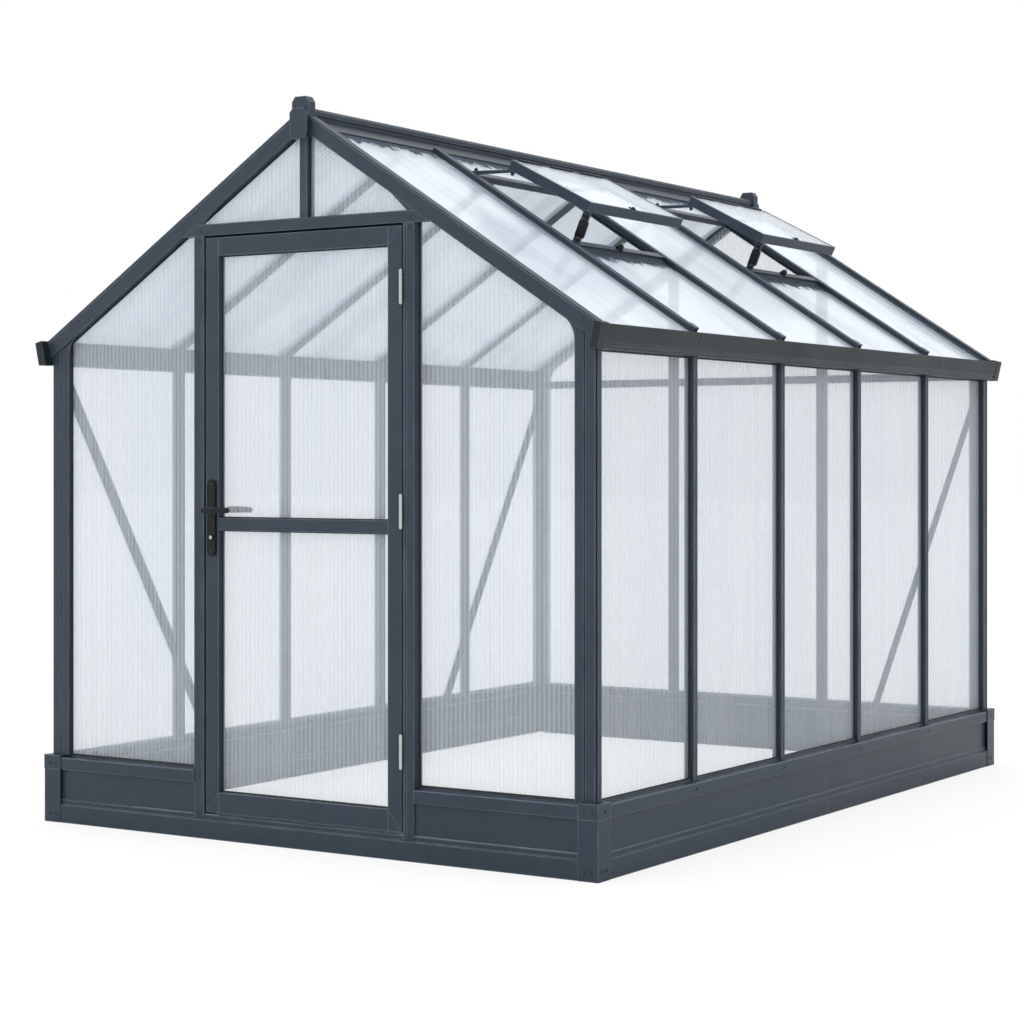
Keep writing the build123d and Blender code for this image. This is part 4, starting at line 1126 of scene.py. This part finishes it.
def addCatch(dark, middle):
    # catch on the panel's lower edge
    part = bmesh.new()
    addBlock(part, (-0.018, -0.014, 0.0), (-0.001, 0.014, 0.004), 0.0012)
    addBlock(part, (-0.010, -0.006, 0.003), (-0.003, 0.006, 0.008), 0.0012)
    joinInto(dark, part, ventAxes(middle - 0.03, vent["length"], vent["frameDepth"]))


def addKnob(dark, bright, middle):
    # latch knob on the lower crossbar with a bright tip
    seat = slopeMatrix(1, house["ventOpening"][1] - 0.002, -0.003, middle)
    axis = seat.to_3x3() @ Vector((0.25, 0, 1))
    knob = ((-0.002, 0.0130), (0.007, 0.0130), (0.011, 0.0100), (0.017, 0.0095), (0.019, 0.0060))
    tip = ((0.0185, 0.0050), (0.0240, 0.0050), (0.0255, 0.0036))
    addTurned(dark, seat.translation, axis, knob, 20)
    addTurned(bright, seat.translation, axis, tip, 16)


def addStay(dark, low):
    # black channel over the lower part of the stay; returns the seat of its joint bolt
    stayFace = low + vent["stayInset"] - vent["stayThickness"]
    foot = roofPoint(1, house["ventOpening"][1] - 0.003, 0.004, stayFace)
    head = ventPoint(vent["length"] - 0.021, -0.002, stayFace)
    run = (head - foot).normalized()
    along = Vector((0, 1, 0))
    matrix = Matrix((run, along, run.cross(along))).transposed().to_4x4()
    matrix.translation = foot
    reach = (head - foot).length
    part = bmesh.new()
    addBlock(part, (0.12 * reach, -0.0025, -0.0165), (0.66 * reach, 0.0105, 0.0165), 0.0020)
    addBlock(part, (0.60 * reach, -0.0040, -0.0100), (0.86 * reach, 0.0120, 0.0100), 0.0020)
    joinInto(dark, part, matrix)
    return foot + run * 0.73 * reach - along * 0.0040


def pivotSpots(low, high):
    # where arms and stays meet the panel and the crossbars
    spots = []
    for end, facing in ((low + 0.0001, -1), (high - 0.0001, 1)):
        inside = end - facing * vent["stayThickness"]
        for spot in (
            ventPoint(0.011, -0.010, inside),
            roofPoint(1, house["ventOpening"][0] + 0.004, 0.008, inside),
        ):
            spots.append((tuple(spot), (0, -facing, 0)))
    return spots


def addVentFittings():
    dark = bmesh.new()
    bright = bmesh.new()
    pivots = []
    for bay in house["ventBays"]:
        low, high = baySpan(bay)
        middle = (low + high) / 2
        addHingeStrips(dark, low, high)
        addCatch(dark, middle)
        addKnob(dark, bright, middle)
        pivots += pivotSpots(low, high)
        stayFace = low + vent["stayInset"] - vent["stayThickness"]
        for spot in (
            addStay(dark, low),
            ventPoint(vent["length"] - 0.021, -0.012, stayFace),
            roofPoint(1, house["ventOpening"][1] - 0.004, 0.012, stayFace),
        ):
            pivots.append((tuple(spot), (0, -1, 0)))
    fittings = finishMesh(dark, "ventFittings")
    addPiece("vent_fittings", fittings, "house", blackFinish)
    tips = finishMesh(bright, "ventKnobTips")
    addPiece("vent_knob_tips", tips, "house", steelFinish)
    steel = metals["screwSteel"]
    growScrews("vent_pivot_bolts", pivots, screws["pivot"], steel, "house")


addVentFittings()


# Painted shade in the open flute ends: thin dark strips of uneven length under the ridge and vents.
def makeStreakTree():
    tree, into, out = startTree(
        "fluteStreaks",
        [
            ("Pitch", "NodeSocketFloat"),
            ("Width", "NodeSocketFloat"),
            ("Shortest", "NodeSocketFloat"),
            ("Longest", "NodeSocketFloat"),
            ("Seed", "NodeSocketInt"),
            ("Material", "NodeSocketMaterial"),
        ],
    )
    link = tree.links.new
    toCurve = tree.nodes.new("GeometryNodeMeshToCurve")
    link(into.outputs["Geometry"], toCurve.inputs[0])
    resample = tree.nodes.new("GeometryNodeResampleCurve")
    resample.mode = "LENGTH"
    link(toCurve.outputs[0], resample.inputs["Curve"])
    link(into.outputs["Pitch"], resample.inputs["Length"])
    size = tree.nodes.new("ShaderNodeCombineXYZ")
    link(into.outputs["Width"], size.inputs[0])
    size.inputs[1].default_value = streaks["thickness"]
    size.inputs[2].default_value = 1.0
    strip = tree.nodes.new("GeometryNodeMeshCube")
    link(size.outputs[0], strip.inputs["Size"])
    lift = tree.nodes.new("GeometryNodeTransform")
    lift.inputs["Translation"].default_value = (0.0, 0.0, 0.5)
    link(strip.outputs["Mesh"], lift.inputs["Geometry"])
    turn = tree.nodes.new("FunctionNodeAxesToRotation")
    turn.primary_axis = "Z"
    turn.secondary_axis = "X"
    link(namedAttribute(tree, "fluteRun", "FLOAT_VECTOR"), turn.inputs[0])
    tangent = tree.nodes.new("GeometryNodeInputTangent")
    link(tangent.outputs[0], turn.inputs[1])
    lengths = tree.nodes.new("FunctionNodeRandomValue")
    lengths.data_type = "FLOAT"
    link(into.outputs["Shortest"], lengths.inputs[2])
    link(into.outputs["Longest"], lengths.inputs[3])
    link(into.outputs["Seed"], lengths.inputs["Seed"])
    scale = tree.nodes.new("ShaderNodeCombineXYZ")
    scale.inputs[0].default_value = 1.0
    scale.inputs[1].default_value = 1.0
    link(lengths.outputs[1], scale.inputs[2])
    spread = tree.nodes.new("GeometryNodeInstanceOnPoints")
    link(resample.outputs[0], spread.inputs["Points"])
    link(lift.outputs[0], spread.inputs["Instance"])
    link(turn.outputs[0], spread.inputs["Rotation"])
    link(scale.outputs[0], spread.inputs["Scale"])
    endTree(tree, spread.outputs[0], into, out)
    return tree


streaks = {
    "pitch": 0.0115,
    "width": 0.0086,
    "ridgeLongest": 0.060,
    "ventLongest": 0.055,
    "shortest": 0.022,
    "lift": 0.0004,
    "thickness": 0.0004,
    "endInset": 0.006,
    "underRidge": 0.0985,
    "underVent": 0.0225,
}


def topEdges(side, along, bays):
    vertices, edges, runs = [], [], []
    level = -house["ribDepth"] + streaks["lift"]
    run = roofPoint(side, 1.0, 0, 0) - roofPoint(side, 0.0, 0, 0)
    for bay in bays:
        low, high = baySpan(bay)
        edges.append((len(vertices), len(vertices) + 1))
        ends = (low + streaks["endInset"], high - streaks["endInset"])
        vertices += [tuple(roofPoint(side, along, level, y)) for y in ends]
        runs += [run, run]
    mesh = bpy.data.meshes.new("topEdges")
    mesh.from_pydata(vertices, edges, [])
    layer = mesh.attributes.new("fluteRun", "FLOAT_VECTOR", "POINT")
    layer.data.foreach_set("vector", [number for run in runs for number in run])
    return mesh


streakTree = makeStreakTree()
allBays = range(house["baysAlong"])
belowVent = house["ventOpening"][1] + streaks["underVent"]
for name, side, along, bays, longest, seed in (
    ("ridge_streaks_right", 1, streaks["underRidge"], allBays, streaks["ridgeLongest"], 3),
    ("ridge_streaks_left", -1, streaks["underRidge"], allBays, streaks["ridgeLongest"], 5),
    ("vent_streaks", 1, belowVent, house["ventBays"], streaks["ventLongest"], 8),
):
    values = {
        "Pitch": streaks["pitch"],
        "Width": streaks["width"],
        "Shortest": streaks["shortest"],
        "Longest": longest,
        "Seed": seed,
        "Material": metals["fluteShade"],
    }
    growPiece(name, topEdges(side, along, bays), streakTree, values, "house")
print("roof fittings and streaks made")

# Floor, backdrop and light.
studio = {
    "skyLevel": 0.98,
    "skyOverhead": 0.64,
    "skySideDrop": 0.30,
    "floorBounce": (0.80, 0.80, 0.80),
    "floorSeen": (0.24, 0.24, 0.24),
    "floorGlow": 0.74,
    "floorReach": 60.0,
}


def cameraShare(tree):
    # 1 for what the camera sees, straight or through the sheets
    path = tree.nodes.new("ShaderNodeLightPath")
    both = mathNode(tree, "ADD", path.outputs["Is Camera Ray"], path.outputs["Is Transmission Ray"])
    return mathNode(tree, "MINIMUM", both, 1.0)


def addFloor():
    mesh = bpy.data.meshes.new("floor")
    reach = studio["floorReach"]
    mesh.from_pydata(
        [(-reach, -reach, 0), (reach, -reach, 0), (reach, reach, 0), (-reach, reach, 0)],
        [],
        [(0, 1, 2, 3)],
    )
    floor = bpy.data.objects.new("floor", mesh)
    scene.collection.objects.link(floor)
    material, tree, shader, place = startMaterial("studioFloor")
    tree.nodes.remove(shader)
    seen = cameraShare(tree)
    paint = tree.nodes.new("ShaderNodeBsdfDiffuse")
    white = mixColour(tree, seen, studio["floorBounce"], studio["floorSeen"])
    tree.links.new(white, paint.inputs["Color"])
    glow = tree.nodes.new("ShaderNodeEmission")
    tree.links.new(mathNode(tree, "MULTIPLY", seen, studio["floorGlow"]), glow.inputs["Strength"])
    both = tree.nodes.new("ShaderNodeAddShader")
    tree.links.new(paint.outputs[0], both.inputs[0])
    tree.links.new(glow.outputs[0], both.inputs[1])
    tree.links.new(both.outputs[0], tree.nodes["Material Output"].inputs["Surface"])
    mesh.materials.append(material)


def addWorld():
    # soft white sky: brighter overhead, a touch dimmer beside the long wall
    world = bpy.data.worlds.new("studio")
    world.use_nodes = True
    tree = world.node_tree
    background = tree.nodes["Background"]
    background.inputs[0].default_value = (1, 1, 1, 1)
    direction = tree.nodes.new("ShaderNodeSeparateXYZ")
    tree.links.new(tree.nodes.new("ShaderNodeTexCoord").outputs["Generated"], direction.inputs[0])
    above = mathNode(tree, "MAXIMUM", direction.outputs["Z"], 0.0)
    overhead = mathNode(tree, "MULTIPLY", above, studio["skyOverhead"])
    beside = mathNode(tree, "MULTIPLY", direction.outputs["X"], studio["skySideDrop"])
    sky = mathNode(tree, "SUBTRACT", mathNode(tree, "ADD", overhead, studio["skyLevel"]), beside)
    share = cameraShare(tree)
    hidden = mathNode(tree, "MULTIPLY", sky, mathNode(tree, "SUBTRACT", 1.0, share))
    tree.links.new(mathNode(tree, "ADD", hidden, share), background.inputs["Strength"])
    world.cycles.sampling_method = "NONE"  # an even sky needs no rays of its own
    scene.world = world


addFloor()
addWorld()
print("studio lit")
